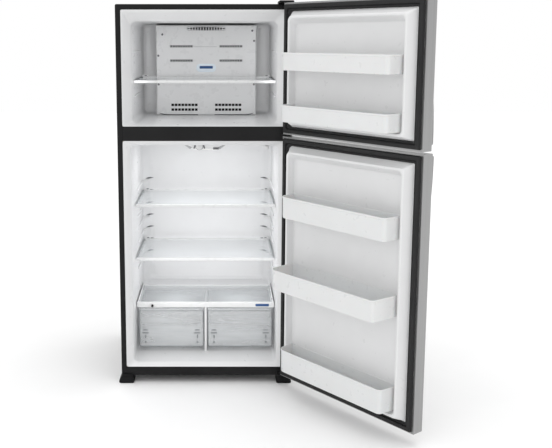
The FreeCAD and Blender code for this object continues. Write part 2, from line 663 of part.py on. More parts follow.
def build_hinges():
    top_plate = box("top_plate", (316, "half_width - 1"), ("pin_front - 10", "front + 62"),
                    ("freezer_skin_high + 1", "freezer_skin_high + 4"))
    top_soft = rounded("top_plate_soft", top_plate, 7, lambda a, b: abs(a.z - b.z) > 2)
    spacer = box("top_spacer", (322, 372), ("front + 6", "front + 58"),
                 ("top", "freezer_skin_high + 1"))
    top_pin = rod("top_pin", "z", "pin_radius", 28, (*PIN, "freezer_skin_high - 26"))
    node(fuse("top_hinge_solid", [top_soft, spacer, top_pin]), "top_hinge")

    cover = box("top_cover", (314, "half_width"), ("pin_front - 12", "front + 66"),
                ("top", "freezer_skin_high + 10"))
    cover_soft = rounded("top_cover_soft", cover, 5,
                         lambda a, b: min(a.z, b.z) > SIZES["freezer_skin_high"] + 9)
    under = box("top_cover_hollow", (315.5, "half_width - 0.8"), ("pin_front - 10.4", "front + 63"),
                ("top - 1", "freezer_skin_high + 8.4"))
    over_door = box("top_cover_lap", (310, 380), ("skin_front - 5", "slab_rear + 4"),
                    ("top - 1", "freezer_skin_high + 0.8"))
    node(cut("top_cover_cut", cover_soft, [under, over_door]), "top_hinge_cover")

    gap = "(freezer_skin_low + fridge_skin_high) / 2"
    middle_plate = box("middle_plate", (330, "half_width - 1"), ("pin_front - 8", "front"),
                       (f"{gap} - 1.7", f"{gap} + 1.7"))
    middle_leaf = box("middle_leaf", (330, "half_width - 1"), ("front - 3", "front"),
                      (f"{gap} - 8", f"{gap} + 8"))
    middle_pin = rod("middle_pin", "z", "pin_radius", 54, (*PIN, f"{gap} - 27"))
    node(fuse("middle_hinge_solid", [middle_plate, middle_leaf, middle_pin]), "middle_hinge")

    bottom_plate = box("bottom_plate", (322, "half_width - 1"), ("pin_front - 8", "front"),
                       ("fridge_skin_low - 7", "fridge_skin_low - 3.5"))
    bottom_leaf = box("bottom_leaf", (322, "half_width - 1"), ("front - 3", "front"),
                      ("pan_top + 0.5", "fridge_skin_low + 4"))
    bottom_pin = rod("bottom_pin", "z", "pin_radius", 28, (*PIN, "fridge_skin_low - 4"))
    node(fuse("bottom_hinge_solid", [bottom_plate, bottom_leaf, bottom_pin]), "bottom_hinge")

    heads = [bolt(f"hinge_screw_{i}", x, y, SIZES["freezer_skin_high"] + 4)
             for i, (x, y) in enumerate(((330, -318), (364, -318), (330, -282), (364, -282)))]
    dots = []
    for x, z in ((-210, 1552), (221, 1570), (-230, 1451), (230, 1522), (-230, 1314), (230, 1314)):
        dots.append(rod(f"cover_screw_{x}_{z}", "y", 5, 2.5, (x, "cover_front - 2.5", z)))
    node(group("screw_group", heads + dots), "screws")


# ---------------------------------------------------------------- doors

WRAP_ROUND = 5


def dike(name, low, high, grow):
    """The raised border on the inside of a door, as the space inside its outer walls."""
    return taper(name, (f"dike_base + {grow}", f"dike_crest + {grow}"),
                 ("slab_rear - 2", f"dike_rear + {grow}"),
                 (f"{low} + 38 - {grow}", f"{low} + 50 - {grow}"),
                 (f"{high} - 38 + {grow}", f"{high} - 56 + {grow}"))


def recess(name, low, high, grow):
    """The shallow tray inside the border."""
    rim = f"(dike_rim - {grow})"
    return taper(name, (f"dike_crest - {rim} - dike_slope", f"dike_crest - {rim}"),
                 ("slab_rear + 4 - " + str(grow), "dike_rear + 1"),
                 (f"{low} + 50 + {rim} + dike_slope", f"{low} + 50 + {rim}"),
                 (f"{high} - 56 - {rim} - 3 * dike_slope", f"{high} - 56 - {rim}"))


def build_door(name, low, high, angle):
    """A door's steel wrap, plastic inner liner, foam core and magnetic gasket."""
    place = door_placement(angle)
    inside_z = (f"{low} + hem_end", f"{high} - hem_end")

    def front_edge(a, b):
        return max(a.y, b.y) < SIZES["skin_front"] + 2

    outer = across(name + "_wrap", "half_width", ("skin_front", "slab_rear"), (low, high))
    soft = rounded(name + "_wrap_soft", outer, WRAP_ROUND, front_edge)
    hollow = across(name + "_wrap_hollow", "half_width - sheet",
                    ("skin_front + sheet", "slab_rear - sheet"),
                    (f"{low} + sheet", f"{high} - sheet"))
    soft_hollow = rounded(name + "_wrap_hollow_soft", hollow, WRAP_ROUND - 1, front_edge)
    opening = across(name + "_wrap_opening", "half_width - hem_side",
                     ("slab_rear - 2", "slab_rear + 1"), inside_z)
    bore = rod(name + "_pin_bore", "z", "pin_radius + pin_play", "top + 100", (*PIN, 0))
    skin = cut(name + "_skin_cut", soft, [soft_hollow, opening, bore])
    node(skin, name + "_skin", place)

    plate = across(name + "_plate", "half_width - hem_side",
                   ("slab_rear - 2", "slab_rear"), inside_z)
    liner_solid = fuse(name + "_liner_solid",
                       [plate, dike(name + "_dike", low, high, "0")])
    core_ring = cut(name + "_core_ring", dike(name + "_dike_core", low, high, "-liner"),
                    [recess(name + "_recess_core", low, high, "2.5")])
    tray = recess(name + "_recess", low, high, "0")
    keep = across(name + "_core_keep", "half_width", ("slab_rear - 2", "dike_rear"), (low, high))
    core_keep = doc.addObject("Part::Common", name + "_core_common")
    core_keep.Base = core_ring
    core_keep.Tool = keep
    liner = cut(name + "_liner_cut", liner_solid, [tray, core_keep])
    node(liner, name + "_liner", place)

    slab = across(name + "_slab", "half_width - sheet", ("skin_front + sheet", "slab_rear - 2"),
                  (f"{low} + sheet", f"{high} - sheet"))
    soft_slab = rounded(name + "_slab_soft", slab, WRAP_ROUND - 1, front_edge)
    foam_bore = rod(name + "_foam_bore", "z", "pin_radius + pin_play", "top + 100", (*PIN, 0))
    foam = cut(name + "_foam_cut", fuse(name + "_foam_solid", [soft_slab, core_keep]),
               [foam_bore])
    node(foam, name + "_insulation", place)

    gasket = ring(name + "_gasket_body", "half_width - hem_side", inside_z, "gasket_width",
                  ("slab_rear", "front - gasket_gap"))
    node(gasket, name + "_gasket", place)
    return place


def bin_corners(name, base, shrink):
    """Rounds a bin's two front corners, the one near the hinge more than the free one."""
    def at_front(a, b):
        return upright(a, b) and a.y > SIZES["front"] + 20

    hinge = rounded(name + "_hinge_corner", base, SIZES["bin_round"] - shrink,
                    lambda a, b: at_front(a, b) and a.x > 0)
    return rounded(name + "_free_corner", hinge, SIZES["bin_free_round"] - shrink,
                   lambda a, b: at_front(a, b) and max(a.x, b.x) < -SIZES["bin_round"] * 5)


def bin_tray(name, place, low, high, reach, front_half):
    """A door bin: a tapered tub with round front corners, hung inside the door's border."""
    front = f"front + {reach}"
    outer = taper(name + "_outer", ("bin_half", front_half), ("slab_rear + 4.5", front),
                  (low, low), (high, high))
    inner = taper(name + "_inner", ("bin_half - bin_wall", f"{front_half} - bin_wall"),
                  ("slab_rear + 4.5 + bin_wall", f"{front} - bin_wall"),
                  (f"{low} + 3", f"{low} + 3"), (high + 20, high + 20))
    tub = cut(name + "_tub", bin_corners(name, outer, 0),
              [bin_corners(name + "_inside", inner, SIZES["bin_wall"])])
    node(tub, name, place)


def build_handle(name, place, near, sign):
    """A swept handle: proud at the end near the gap, thinning to where it meets the door."""
    body = doc.addObject("PartDesign::Body", name + "_body")
    sketch = sketch_on(body, "YZ_Plane", "-half_width + handle_inset", name + "_side")
    steps = 12
    length, proud, bar, foot_length = 380, 50, 15, 26
    outer, inner = [], []
    for i in range(steps + 1):
        t = i / steps
        depth = proud * (1 - t ** 2.2)
        along = 8 + (length - 8) * t
        outer.append((f"skin_front - {depth:.2f}", f"{near} + {sign} * {along:.2f}"))
        if 0.06 < t < 0.8:
            inner.append((f"skin_front - {max(depth - bar, 1):.2f}",
                          f"{near} + {sign} * {along:.2f}"))
    foot_top = [(f"skin_front - {proud - bar}", f"{near} + {sign} * {foot_length}"),
                ("skin_front", f"{near} + {sign} * {foot_length}")]
    tail = [("skin_front", f"{near} + {sign} * {length * 0.82:.2f}")]
    draw_outline(sketch, [("skin_front", near)] + outer + tail + inner[::-1] + foot_top)
    pad(body, sketch, "24", name + "_pad")
    node(body, name, place)


def build_doors():
    place = build_door("freezer_door", "freezer_skin_low", "freezer_skin_high",
                       "freezer_door_angle")
    bin_tray("freezer_upper_bin", place, 1406, 1477, 95, 295)
    bin_tray("freezer_lower_bin", place, 1197, 1266, 95, 295)
    build_handle("freezer_handle", place, "freezer_skin_low + 14", 1)
    place = build_door("fridge_door", "fridge_skin_low", "fridge_skin_high",
                       "fridge_door_angle")
    bin_tray("fridge_upper_bin", place, 797, 887, 87, 287)
    bin_tray("gallon_bin", place, 500, 585, 140, 288)
    bin_tray("fridge_lower_bin", place, 128, 225, 86, 294)
    build_handle("fridge_handle", place, "fridge_skin_high - 14", -1)


# ---------------------------------------------------------------- build and write

build_shell()
build_machine_cover()
build_base()
build_feet()
channel = build_mullion()
freezer_outer = build_freezer_liner()
fridge_outer = build_fridge_liner()
build_insulation([freezer_outer, fridge_outer, channel])
build_evaporator()
build_shelves()
build_crispers()
build_controls()
build_machinery()
build_hinges()
build_doors()
doc.recompute()

for obj in doc.Objects:
    if "Invalid" in obj.State or "Error" in obj.State:
        raise RuntimeError(f"{obj.Name} did not build: {obj.State}")
os.makedirs("parts", exist_ok=True)
for name, obj in NODES.items():
    if obj.Shape.isNull() or not obj.Shape.isValid():
        raise RuntimeError(f"{name} has no valid shape")
    obj.Shape.exportStep(f"parts/{name}.step")
print(f"{len(NODES)} pieces written")
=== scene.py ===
"""Looks of the top freezer refrigerator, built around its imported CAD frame.

Everything is in metres in the row frame: the floor is at z = 0, +Y runs from the doors to
the back, and the doors stand open.  Pieces of a door are drawn with the door closed and
then turned open with it.
"""

import json
import math

import bmesh
import bpy
from mathutils import Matrix, Vector

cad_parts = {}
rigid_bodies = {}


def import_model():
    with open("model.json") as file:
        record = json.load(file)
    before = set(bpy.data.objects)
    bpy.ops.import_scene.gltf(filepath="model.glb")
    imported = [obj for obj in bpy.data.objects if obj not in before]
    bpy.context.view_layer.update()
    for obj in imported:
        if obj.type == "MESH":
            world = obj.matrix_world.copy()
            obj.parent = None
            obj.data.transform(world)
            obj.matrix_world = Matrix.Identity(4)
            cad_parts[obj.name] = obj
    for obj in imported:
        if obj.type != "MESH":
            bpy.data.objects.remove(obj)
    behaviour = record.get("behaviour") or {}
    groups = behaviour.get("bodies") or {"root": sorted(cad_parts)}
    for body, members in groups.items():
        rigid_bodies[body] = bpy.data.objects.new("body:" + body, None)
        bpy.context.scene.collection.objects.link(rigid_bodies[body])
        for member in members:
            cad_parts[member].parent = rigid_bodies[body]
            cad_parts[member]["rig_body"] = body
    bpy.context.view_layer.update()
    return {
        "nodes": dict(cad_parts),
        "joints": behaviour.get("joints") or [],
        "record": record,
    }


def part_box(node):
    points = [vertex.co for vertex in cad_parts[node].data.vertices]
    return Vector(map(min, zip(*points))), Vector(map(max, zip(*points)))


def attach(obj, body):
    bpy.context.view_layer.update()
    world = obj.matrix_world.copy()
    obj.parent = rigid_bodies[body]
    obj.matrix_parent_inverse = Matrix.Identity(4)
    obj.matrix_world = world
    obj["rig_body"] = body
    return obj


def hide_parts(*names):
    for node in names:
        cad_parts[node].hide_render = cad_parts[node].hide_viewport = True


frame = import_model()

MM = 0.001
SHEET = 1 * MM  # outer steel
LINER = 2.5 * MM  # formed plastic
SLOT_OF = {part["node"]: part["material_slot"] for part in frame["record"]["subparts"]}


# ---------------- materials


LOOKS = {}


class Look:
    """A Principled material whose detail is noise, sized in metres, kept under its name."""

    def __init__(self, name, color, rough, plain=None):
        LOOKS[name] = self
        self.material = bpy.data.materials.new(name)
        self.material.use_nodes = True
        self.nodes = self.material.node_tree.nodes
        self.links = self.material.node_tree.links
        self.shader = self.nodes["Principled BSDF"]
        self.place = self.nodes.new("ShaderNodeTexCoord").outputs["Object"]
        self.color = color
        self.normal = None
        self.shader.inputs["Base Color"].default_value = (*color, 1)
        self.shader.inputs["Roughness"].default_value = rough
        for socket, value in (plain or {}).items():
            self.shader.inputs[socket].default_value = value

    def add(self, kind, values=None):
        """A new node, with values set on some of its sockets."""
        node = self.nodes.new(kind)
        for socket, value in (values or {}).items():
            node.inputs[socket].default_value = value
        return node

    def scaled(self, size, stretch):
        mapping = self.add("ShaderNodeMapping", {"Scale": [1 / (size * s) for s in stretch]})
        self.links.new(self.place, mapping.inputs["Vector"])
        return mapping.outputs["Vector"]

    def noise(self, size, stretch=(1, 1, 1), detail=2.0):
        """Blobs about size across, drawn out along an axis where stretch is over 1."""
        texture = self.add("ShaderNodeTexNoise", {"Scale": 1, "Detail": detail})
        self.links.new(self.scaled(size, stretch), texture.inputs["Vector"])
        return self.spread(texture.outputs["Fac"], 0.3, 0.7, 0, 1)

    def cells(self, size, output="Distance"):
        texture = self.add("ShaderNodeTexVoronoi", {"Scale": 1})
        self.links.new(self.scaled(size, (1, 1, 1)), texture.inputs["Vector"])
        return texture.outputs[output]

    def spread(self, fac, from_low, from_high, low, high):
        node = self.add("ShaderNodeMapRange", {"From Min": from_low, "From Max": from_high,
                                               "To Min": low, "To Max": high})
        node.clamp = False
        self.links.new(fac, node.inputs["Value"])
        return node.outputs["Result"]

    def tint(self, fac, dark, light):
        """Carries the base colour between two colours."""
        node = self.add("ShaderNodeMix", {6: (*dark, 1), 7: (*light, 1)})  # A and B as colours
        node.data_type = "RGBA"
        self.links.new(fac, node.inputs["Factor"])
        self.links.new(node.outputs[2], self.shader.inputs["Base Color"])
        return self

    def mottle(self, fac, share):
        return self.tint(fac, [c * (1 - share) for c in self.color],
                         [min(1, c * (1 + share)) for c in self.color])

    def polish(self, fac, low, high):
        self.links.new(self.spread(fac, 0, 1, low, high), self.shader.inputs["Roughness"])
        return self

    def relief(self, fac, depth):
        bump = self.add("ShaderNodeBump", {"Strength": 1, "Distance": depth})
        self.links.new(fac, bump.inputs["Height"])
        if self.normal:
            self.links.new(self.normal, bump.inputs["Normal"])
        self.normal = bump.outputs["Normal"]
        self.links.new(self.normal, self.shader.inputs["Normal"])
        return self

    def see_through(self, facing, edge_on, edge_color):
        """Clearer and paler where it is seen face on than where it is seen edge on."""
        weight = self.add("ShaderNodeLayerWeight", {"Blend": 0.3})
        body = self.add("ShaderNodeMath")
        body.operation = "ADD"
        body.use_clamp = True
        streaks = self.noise(30 * MM, (8, 8, 1))
        self.links.new(self.spread(weight.outputs["Facing"], 0, 1, facing, edge_on),
                       body.inputs[0])
        self.links.new(self.spread(streaks, 0, 1, -facing / 8, facing / 8), body.inputs[1])
        self.links.new(body.outputs[0], self.shader.inputs["Alpha"])
        return self.tint(self.spread(weight.outputs["Facing"], 0.45, 1, 0, 1), self.color,
                         edge_color)


def moulded(name, color, rough, grain=0.5 * MM, depth=0.006 * MM, plain=None):
    """Moulded or formed plastic: a faint cloudiness and a fine skin."""
    look = Look(name, color, rough, plain)
    look.mottle(look.noise(90 * MM, detail=4), 0.012)
    look.polish(look.noise(25 * MM, detail=5), rough - 0.06, rough + 0.06)
    look.relief(look.noise(grain), depth)
    return look.relief(look.noise(40 * MM), 0.05 * MM)


def textured_paint(name, color, rough, grain, depth):
    """Paint with a fine pebble texture and a few dustier patches."""
    look = Look(name, color, rough, {"Specular IOR Level": 0.16})
    look.mottle(look.noise(140 * MM, detail=5), 0.18)
    look.polish(look.noise(60 * MM, detail=6), rough - 0.07, rough + 0.08)
    return look.relief(look.cells(grain), depth)


def brushed(name, color, rough):
    """Metal with an upright brushed grain, broader streaks and faint wipe marks."""
    look = Look(name, color, rough, {"Metallic": 1})
    grain = (1, 1, 90)
    fine = look.noise(0.5 * MM, grain, detail=3)
    look.mottle(look.noise(6 * MM, grain, detail=6), 0.05)
    look.polish(look.noise(3 * MM, grain, detail=6), rough - 0.05, rough + 0.09)
    return look.relief(fine, 0.006 * MM).relief(look.noise(160 * MM), 0.12 * MM)


def zinc(name, color, rough, spangle):
    """Zinc-coated sheet, with crystals of slightly different tone."""
    look = Look(name, color, rough, {"Metallic": 0.9})
    crystal = look.cells(spangle, "Color")
    look.mottle(crystal, 0.12)
    look.polish(crystal, rough - 0.08, rough + 0.08)
    return look.relief(look.noise(0.8 * MM), 0.01 * MM)


def bare_metal(name, color, rough):
    look = Look(name, color, rough, {"Metallic": 1})
    look.mottle(look.noise(12 * MM, detail=6), 0.12)
    look.polish(look.noise(5 * MM, detail=6), rough - 0.1, rough + 0.12)
    return look.relief(look.noise(0.6 * MM), 0.01 * MM)


def glazing(name, color, facing, edge_on, edge_color, waviness=0.02 * MM):
    """Glass or clear plastic; waviness is the depth of its long, flat mould waves."""
    look = Look(name, color, 0.05, {"IOR": 1.5})
    look.polish(look.noise(50 * MM, detail=6), 0.02, 0.09)
    look.relief(look.noise(40 * MM, (6, 6, 1)), waviness)
    return look.see_through(facing, edge_on, edge_color)


textured_paint("cabinet_paint", (0.0085, 0.0085, 0.009), 0.45, 1.1 * MM, 0.03 * MM)
textured_paint("black_steel", (0.01, 0.01, 0.0105), 0.4, 0.9 * MM, 0.02 * MM)
textured_paint("compressor_paint", (0.018, 0.018, 0.018), 0.3, 2.4 * MM, 0.03 * MM)
textured_paint("motor_metal", (0.3, 0.31, 0.32), 0.4, 0.8 * MM, 0.02 * MM)
zinc("zinc_sheet", (0.55, 0.56, 0.57), 0.42, 9 * MM)
moulded("white_liner", (0.735, 0.738, 0.742), 0.33, plain={"Coat Weight": 0.15})
moulded("white_plastic", (0.76, 0.763, 0.765), 0.3)
moulded("bin_plastic", (0.71, 0.712, 0.712), 0.32, plain={"Subsurface Weight": 0.04})
moulded("black_plastic", (0.006, 0.006, 0.0065), 0.5, depth=0.03 * MM,
        plain={"Specular IOR Level": 0.15})
moulded("roller_plastic", (0.06, 0.06, 0.06), 0.5, depth=0.03 * MM)
moulded("gasket_vinyl", (0.012, 0.012, 0.0125), 0.5, grain=0.8 * MM, depth=0.02 * MM,
        plain={"Specular IOR Level": 0.3})
moulded("rubber", (0.02, 0.02, 0.02), 0.7, depth=0.04 * MM)
brushed("stainless", (0.35, 0.35, 0.35), 0.32)
brushed("handle_metal", (0.3, 0.3, 0.3), 0.3)
bare_metal("screw_steel", (0.16, 0.16, 0.165), 0.42)
bare_metal("coil_aluminium", (0.72, 0.73, 0.74), 0.34)
bare_metal("heater_tube", (0.4, 0.39, 0.38), 0.42)
glazing("shelf_glass", (0.76, 0.79, 0.81), 0.08, 0.38, (0.6, 0.65, 0.67))
glazing("clear_drawer", (0.88, 0.9, 0.91), 0.27, 0.8, (0.4, 0.42, 0.43), 0.05 * MM)
moulded("lamp_glass", (0.93, 0.92, 0.88), 0.4)

# looks that are not slots of the record
moulded("glass_edge", (0.24, 0.3, 0.3), 0.2)
# a dark grey for dark trim and shelf hooks, also used as painted shade: gap shadows beside the
# freezer shelf and crisper lid, slot shadows in the rear corners, bin notch shadows, air slot
# shade and the shade behind the louvres
moulded("dark_trim_and_painted_shade", (0.13, 0.135, 0.14), 0.4)
# painted gap shadow: the grey of the thin strip at each side of a fresh food shelf
moulded("shelf_gap_shadow_grey", (0.4, 0.42, 0.43), 0.4)
# painted shade: the dark grey of the clear drawers' thick edges and bosses
moulded("painted_clear_edge_shade", (0.2, 0.21, 0.22), 0.2)
moulded("blue_patch", (0.012, 0.07, 0.22), 0.35)
moulded("pale_patch", (0.78, 0.86, 0.93), 0.35)
# a mid grey for slot frames and a thin line, also painted shade on the ceiling housing's sloped
# ends
moulded("mid_grey_and_painted_shade", (0.4, 0.405, 0.41), 0.4)

fibre_board = Look("fibre_board", (0.1, 0.098, 0.095), 0.8)
fibre_board.mottle(fibre_board.noise(1.5 * MM, (6, 1, 1), detail=5), 0.3)
fibre_board.relief(fibre_board.noise(1.2 * MM, (5, 1, 1), detail=4), 0.12 * MM)

foam = Look("foam", (0.8, 0.68, 0.4), 0.85)
foam.mottle(foam.noise(30 * MM, detail=6), 0.1)
foam.relief(foam.cells(1.6 * MM), 0.3 * MM)


# ---------------- tools for pieces


def opening_turn(joint_name):
    """Carries a closed door to where it stands at rest."""
    joint = next(j for j in frame["joints"] if j["name"] == joint_name)
    pin = Matrix.Translation(joint["pos_m"])
    swing = Matrix.Rotation(-math.radians(joint["range_deg"][0]), 4, Vector(joint["axis"]))
    return pin @ swing @ pin.inverted()


def box_of(name, turn=None):
    """The lowest and highest corners of a CAD node, of a door's node when it is closed."""
    if turn is None:
        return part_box(name)
    back = turn.inverted()
    spots = [back @ v.co for v in frame["nodes"][name].data.vertices]
    return (Vector([min(s[i] for s in spots) for i in range(3)]),
            Vector([max(s[i] for s in spots) for i in range(3)]))


def outline(corners, radii, steps=5):
    """A closed outline through corners, with a round of each radius and equal point counts."""
    points = []
    count = len(corners)
    for i, corner in enumerate(corners):
        here = Vector(corner)
        before = (Vector(corners[i - 1]) - here).normalized()
        after = (Vector(corners[(i + 1) % count]) - here).normalized()
        half = before.angle(after) / 2
        reach = radii[i] / math.tan(half)
        start, end = here + before * reach, here + after * reach
        middle = here + (before + after).normalized() * (radii[i] / math.sin(half))
        for k in range(steps + 1):
            t = k / steps
            spoke = start.lerp(end, t) - middle
            points.append(middle + spoke.normalized() * radii[i])
    return points


def rounded_rect(low, high, radii, steps=5):
    """radii: lower left, lower right, upper right, upper left, or one for all four."""
    radii = radii if isinstance(radii, (list, tuple)) else [radii] * 4
    corners = [low, (high[0], low[1]), high, (low[0], high[1])]
    return outline(corners, [max(r, 0.2 * MM) for r in radii], steps)


def facing(low, high, radii, y, steps=5):
    """A rounded rectangle from (x, z) low to high, at one y."""
    return [(x, y, z) for x, z in rounded_rect(low, high, radii, steps)]


def lying(low, high, radii, z, steps=5):
    """A rounded rectangle from (x, y) low to high, at one z."""
    return [(x, y, z) for x, y in rounded_rect(low, high, radii, steps)]


def shrunk(low, high, inset, radii, y, steps=5):
    """The outline of a box from the front, at one y and inset by millimetres.

    inset is one number, or three for the sides, the bottom and the top."""
    side, bottom, top = inset if isinstance(inset, tuple) else (inset,) * 3
    return facing((low.x + side * MM, low.z + bottom * MM),
                  (high.x - side * MM, high.z - top * MM), radii, y, steps)


def mm(*values):
    """Lengths in millimetres, as metres."""
    return [value * MM for value in values]


def span(side, near, far):
    """Two distances from the middle plane, on one side of it, as a low and a high x."""
    return sorted((side * near, side * far))


def around(count):
    """Angles spread evenly over a full turn."""
    return [2 * math.pi * k / count for k in range(count)]


def quarter(count):
    """Angles from 0 to a right angle, in count steps."""
    return [math.pi / 2 * k / count for k in range(count + 1)]


def loft(bm, rings, closed=True, cap_first=False, cap_last=False):
    """Quads between rings of points; every ring has the same number."""
    made = [[bm.verts.new(p) for p in ring] for ring in rings]
    count = len(made[0])
    for lower, upper in zip(made, made[1:]):
        for i in range(count if closed else count - 1):
            j = (i + 1) % count
            bm.faces.new((lower[i], lower[j], upper[j], upper[i]))
    if cap_first:
        bm.faces.new(made[0][::-1])
    if cap_last:
        bm.faces.new(made[-1])
    return made


def solid(bm, rings):
    """A loft with both of its ends capped."""
    loft(bm, rings, cap_first=True, cap_last=True)


def hoop(bm, rings):
    """A loft whose last ring runs on into its first."""
    made = loft(bm, rings)
    count = len(made[0])
    for i in range(count):
        j = (i + 1) % count
        bm.faces.new((made[-1][i], made[-1][j], made[0][j], made[0][i]))


def enter(name, data):
    """A new object of the scene."""
    made = bpy.data.objects.new(name, data)
    bpy.context.scene.collection.objects.link(made)
    return made


def face_to(bm, point, toward=True):
    """Turns an open surface so that its normals point to, or away from, a point."""
    bmesh.ops.recalc_face_normals(bm, faces=bm.faces)
    score = sum(f.normal.dot(Vector(point) - f.calc_center_median()) * f.calc_area()
                for f in bm.faces)
    if (score > 0) != toward:
        bmesh.ops.reverse_faces(bm, faces=bm.faces)


def publish(bm, name, looks, nodes=(), body="cabinet", turn=None, crease=35):
    """Makes a shown piece that rides on a body and stands for CAD nodes."""
    if turn is not None:
        bmesh.ops.transform(bm, matrix=turn, verts=bm.verts)
    for face in bm.faces:
        face.smooth = True
    limit = math.radians(crease)
    for edge in bm.edges:
        edge.smooth = len(edge.link_faces) == 2 and edge.calc_face_angle(math.pi) < limit
    mesh = bpy.data.meshes.new(name)
    bm.to_mesh(mesh)
    bm.free()
    looks = [looks] if isinstance(looks, str) else looks
    for look in looks:
        mesh.materials.append(LOOKS[look].material)
    piece = enter(name, mesh)
    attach(piece, body)
    if nodes:
        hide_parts(*nodes)
    return piece


def thicken(piece, thickness):
    """Gives an open surface its thickness, behind the side that its normals face."""
    shell = piece.modifiers.new("Wall", "SOLIDIFY")
    shell.thickness = thickness
    shell.offset = -1
    shell.use_even_offset = True
    return piece


def ease(piece, width, segments=2, angle=40):
    """Rounds the sharp edges."""
    edges = piece.modifiers.new("Edges", "BEVEL")
    edges.width = width
    edges.segments = segments
    edges.limit_method = "ANGLE"
    edges.angle_limit = math.radians(angle)
    edges.harden_normals = True
    return piece


def soften(name, width, look=None):
    """A CAD node with its edges rounded."""
    source = frame["nodes"][name]
    bm = bmesh.new()
    bm.from_mesh(source.data)
    bmesh.ops.remove_doubles(bm, verts=bm.verts, dist=0.01 * MM)
    bmesh.ops.dissolve_limit(bm, angle_limit=math.radians(0.5), verts=bm.verts, edges=bm.edges)
    slot = SLOT_OF[name]
    piece = publish(bm, name + "_finished", look or slot, [name], source["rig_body"])
    return ease(piece, width)


def bar(bm, profile, low, high, axis=0):
    """A profile of points in the other two axes, run from low to high along one axis."""
    solid(bm, [[(*spot[:axis], place, *spot[axis:]) for spot in map(tuple, profile)]
               for place in (low, high)])


def wire(bm, points, radius):
    """A round wire along points that lie in a plane parallel to the doors."""
    up = Vector((0, 1, 0))
    rings = []
    for i, point in enumerate(points):
        along = Vector(points[min(i + 1, len(points) - 1)]) - Vector(points[max(i - 1, 0)])
        side = along.cross(up).normalized()
        rings.append([Vector(point) + (up * math.cos(a) + side * math.sin(a)) * radius
                      for a in around(8)])
    solid(bm, rings)


def block(bm, low, high):
    bar(bm, [(low[1], low[2]), (high[1], low[2]), (high[1], high[2]), (low[1], high[2])],
        low[0], high[0])


def tidy(bm):
    bmesh.ops.recalc_face_normals(bm, faces=bm.faces)
    return bm


# ---------------- cabinet

FRIDGE_HALF, FRIDGE_FLOOR, FRIDGE_CEILING = mm(321, 90, 1075)
STEP_Y, STEP_Z = mm(120, 315)  # the step over the compressor


def build_shell():
    """The painted wrapper: sides, top and a flange folded in around the openings."""
    low, high = box_of("cabinet_shell")
    mouth = 23 * MM
    profile = [(mouth, 2.2 * MM, 3), (mouth, 0.7 * MM, 3), (mouth - 0.7 * MM, 0, 3.4),
               (2 * MM, 0, 6), (0.6 * MM, 0.5 * MM, 6.4), (0, 1.8 * MM, 7)]
    rings = []
    for inset, depth, radius in profile + [(0, high.y - low.y, 7)]:
        half, top, r = high.x - inset, high.z - inset, radius * MM
        left = [(-half + r - r * math.cos(a), top - r + r * math.sin(a)) for a in quarter(6)]
        path = [(-half, low.z)] + left + [(-x, z) for x, z in left[::-1]] + [(half, low.z)]
        rings.append([(x, low.y + depth, z) for x, z in path])
    bm = bmesh.new()
    loft(bm, rings, closed=False)
    face_to(bm, (0, 0, high.z / 2), toward=False)
    thicken(publish(bm, "cabinet_wrapper", "cabinet_paint", ["cabinet_shell"]), SHEET)


def build_back():
    """The back sheet, with a pressed field and stiffening beads."""
    low, high = box_of("back_panel")
    bm = bmesh.new()
    loft(bm, [shrunk(low, high, inset, radius * MM, high.y - depth * MM)
              for inset, depth, radius in ((0, 0, 2), (30, 0, 14), (34, 1.2, 16), (40, 3.2, 18),
                                           (46, 4, 20))], cap_last=True)
    field_y = high.y - 4 * MM
    for level in (0.22, 0.5, 0.78):
        z = low.z + (high.z - low.z) * level
        for side in (-1, 1):
            left, right = span(side, 45 * MM, 300 * MM)
            loft(bm, [facing((left + lift * MM, z - tall * MM), (right - lift * MM, z + tall * MM),
                             (tall - 0.3) * MM, field_y + (lift + 0.1) * MM)
                      for lift, tall in ((0, 9), (1.6, 6), (2.4, 2.5))], cap_last=True)
    face_to(bm, (0, 2, 1))
    thicken(publish(bm, "back_sheet", "zinc_sheet", ["back_panel"]), SHEET)


def build_cabinet_foam():
    """The cabinet's foam, kept clear of the sheet's pressed field and of rounded edges."""
    low, high = box_of("cabinet_insulation")
    near = 2 * MM
    bm = bmesh.new()
    bm.from_mesh(frame["nodes"]["cabinet_insulation"].data)
    for vert in bm.verts:
        spot = vert.co
        if spot.y > high.y - near:
            spot.y -= 6 * MM
        if spot.z > high.z - near and abs(spot.x) > high.x - near:
            spot.z -= 3 * MM
            spot.x -= math.copysign(3 * MM, spot.x)
        if spot.y < low.y + near:
            spot.y += 4 * MM
        if abs(spot.y - STEP_Y - LINER) < near and abs(spot.z - STEP_Z + LINER) < near:
            spot += Vector(mm(0, 6, -6))
    publish(bm, "cabinet_foam", "foam", ["cabinet_insulation"])


def flared_rings(front, mouth, body, steps):
    """Rings that lead from the mouth of a liner to its body, through a rounded lip.

    mouth and body are (half width, low, high); steps are (depth, share, radius)."""
    rings = []
    for depth, share, radius in steps:
        half, low, high = [m + (b - m) * share for m, b in zip(mouth, body)]
        rings.append(facing((-half, low), (half, high), radius * MM, front + depth * MM))
    return rings


def rib(bm, path, z, depth, height):
    """A ledge on a wall, round in section and fading out at both ends.

    path holds (x, y) points on the wall with the wall's inward (x, y) direction."""
    rings = []
    last = len(path) - 1
    for i, ((x, y), (nx, ny)) in enumerate(path):
        size = 0.35 if i in (0, last) else 1
        ring = []
        for k in range(9):
            a = math.pi * k / 8
            out = (math.sin(a) ** 0.7 * depth * size) - 0.8 * MM * (k in (0, 8))
            ring.append((x + nx * out, y + ny * out, z + math.cos(a) * height / 2 * size))
        rings.append(ring)
    solid(bm, rings)


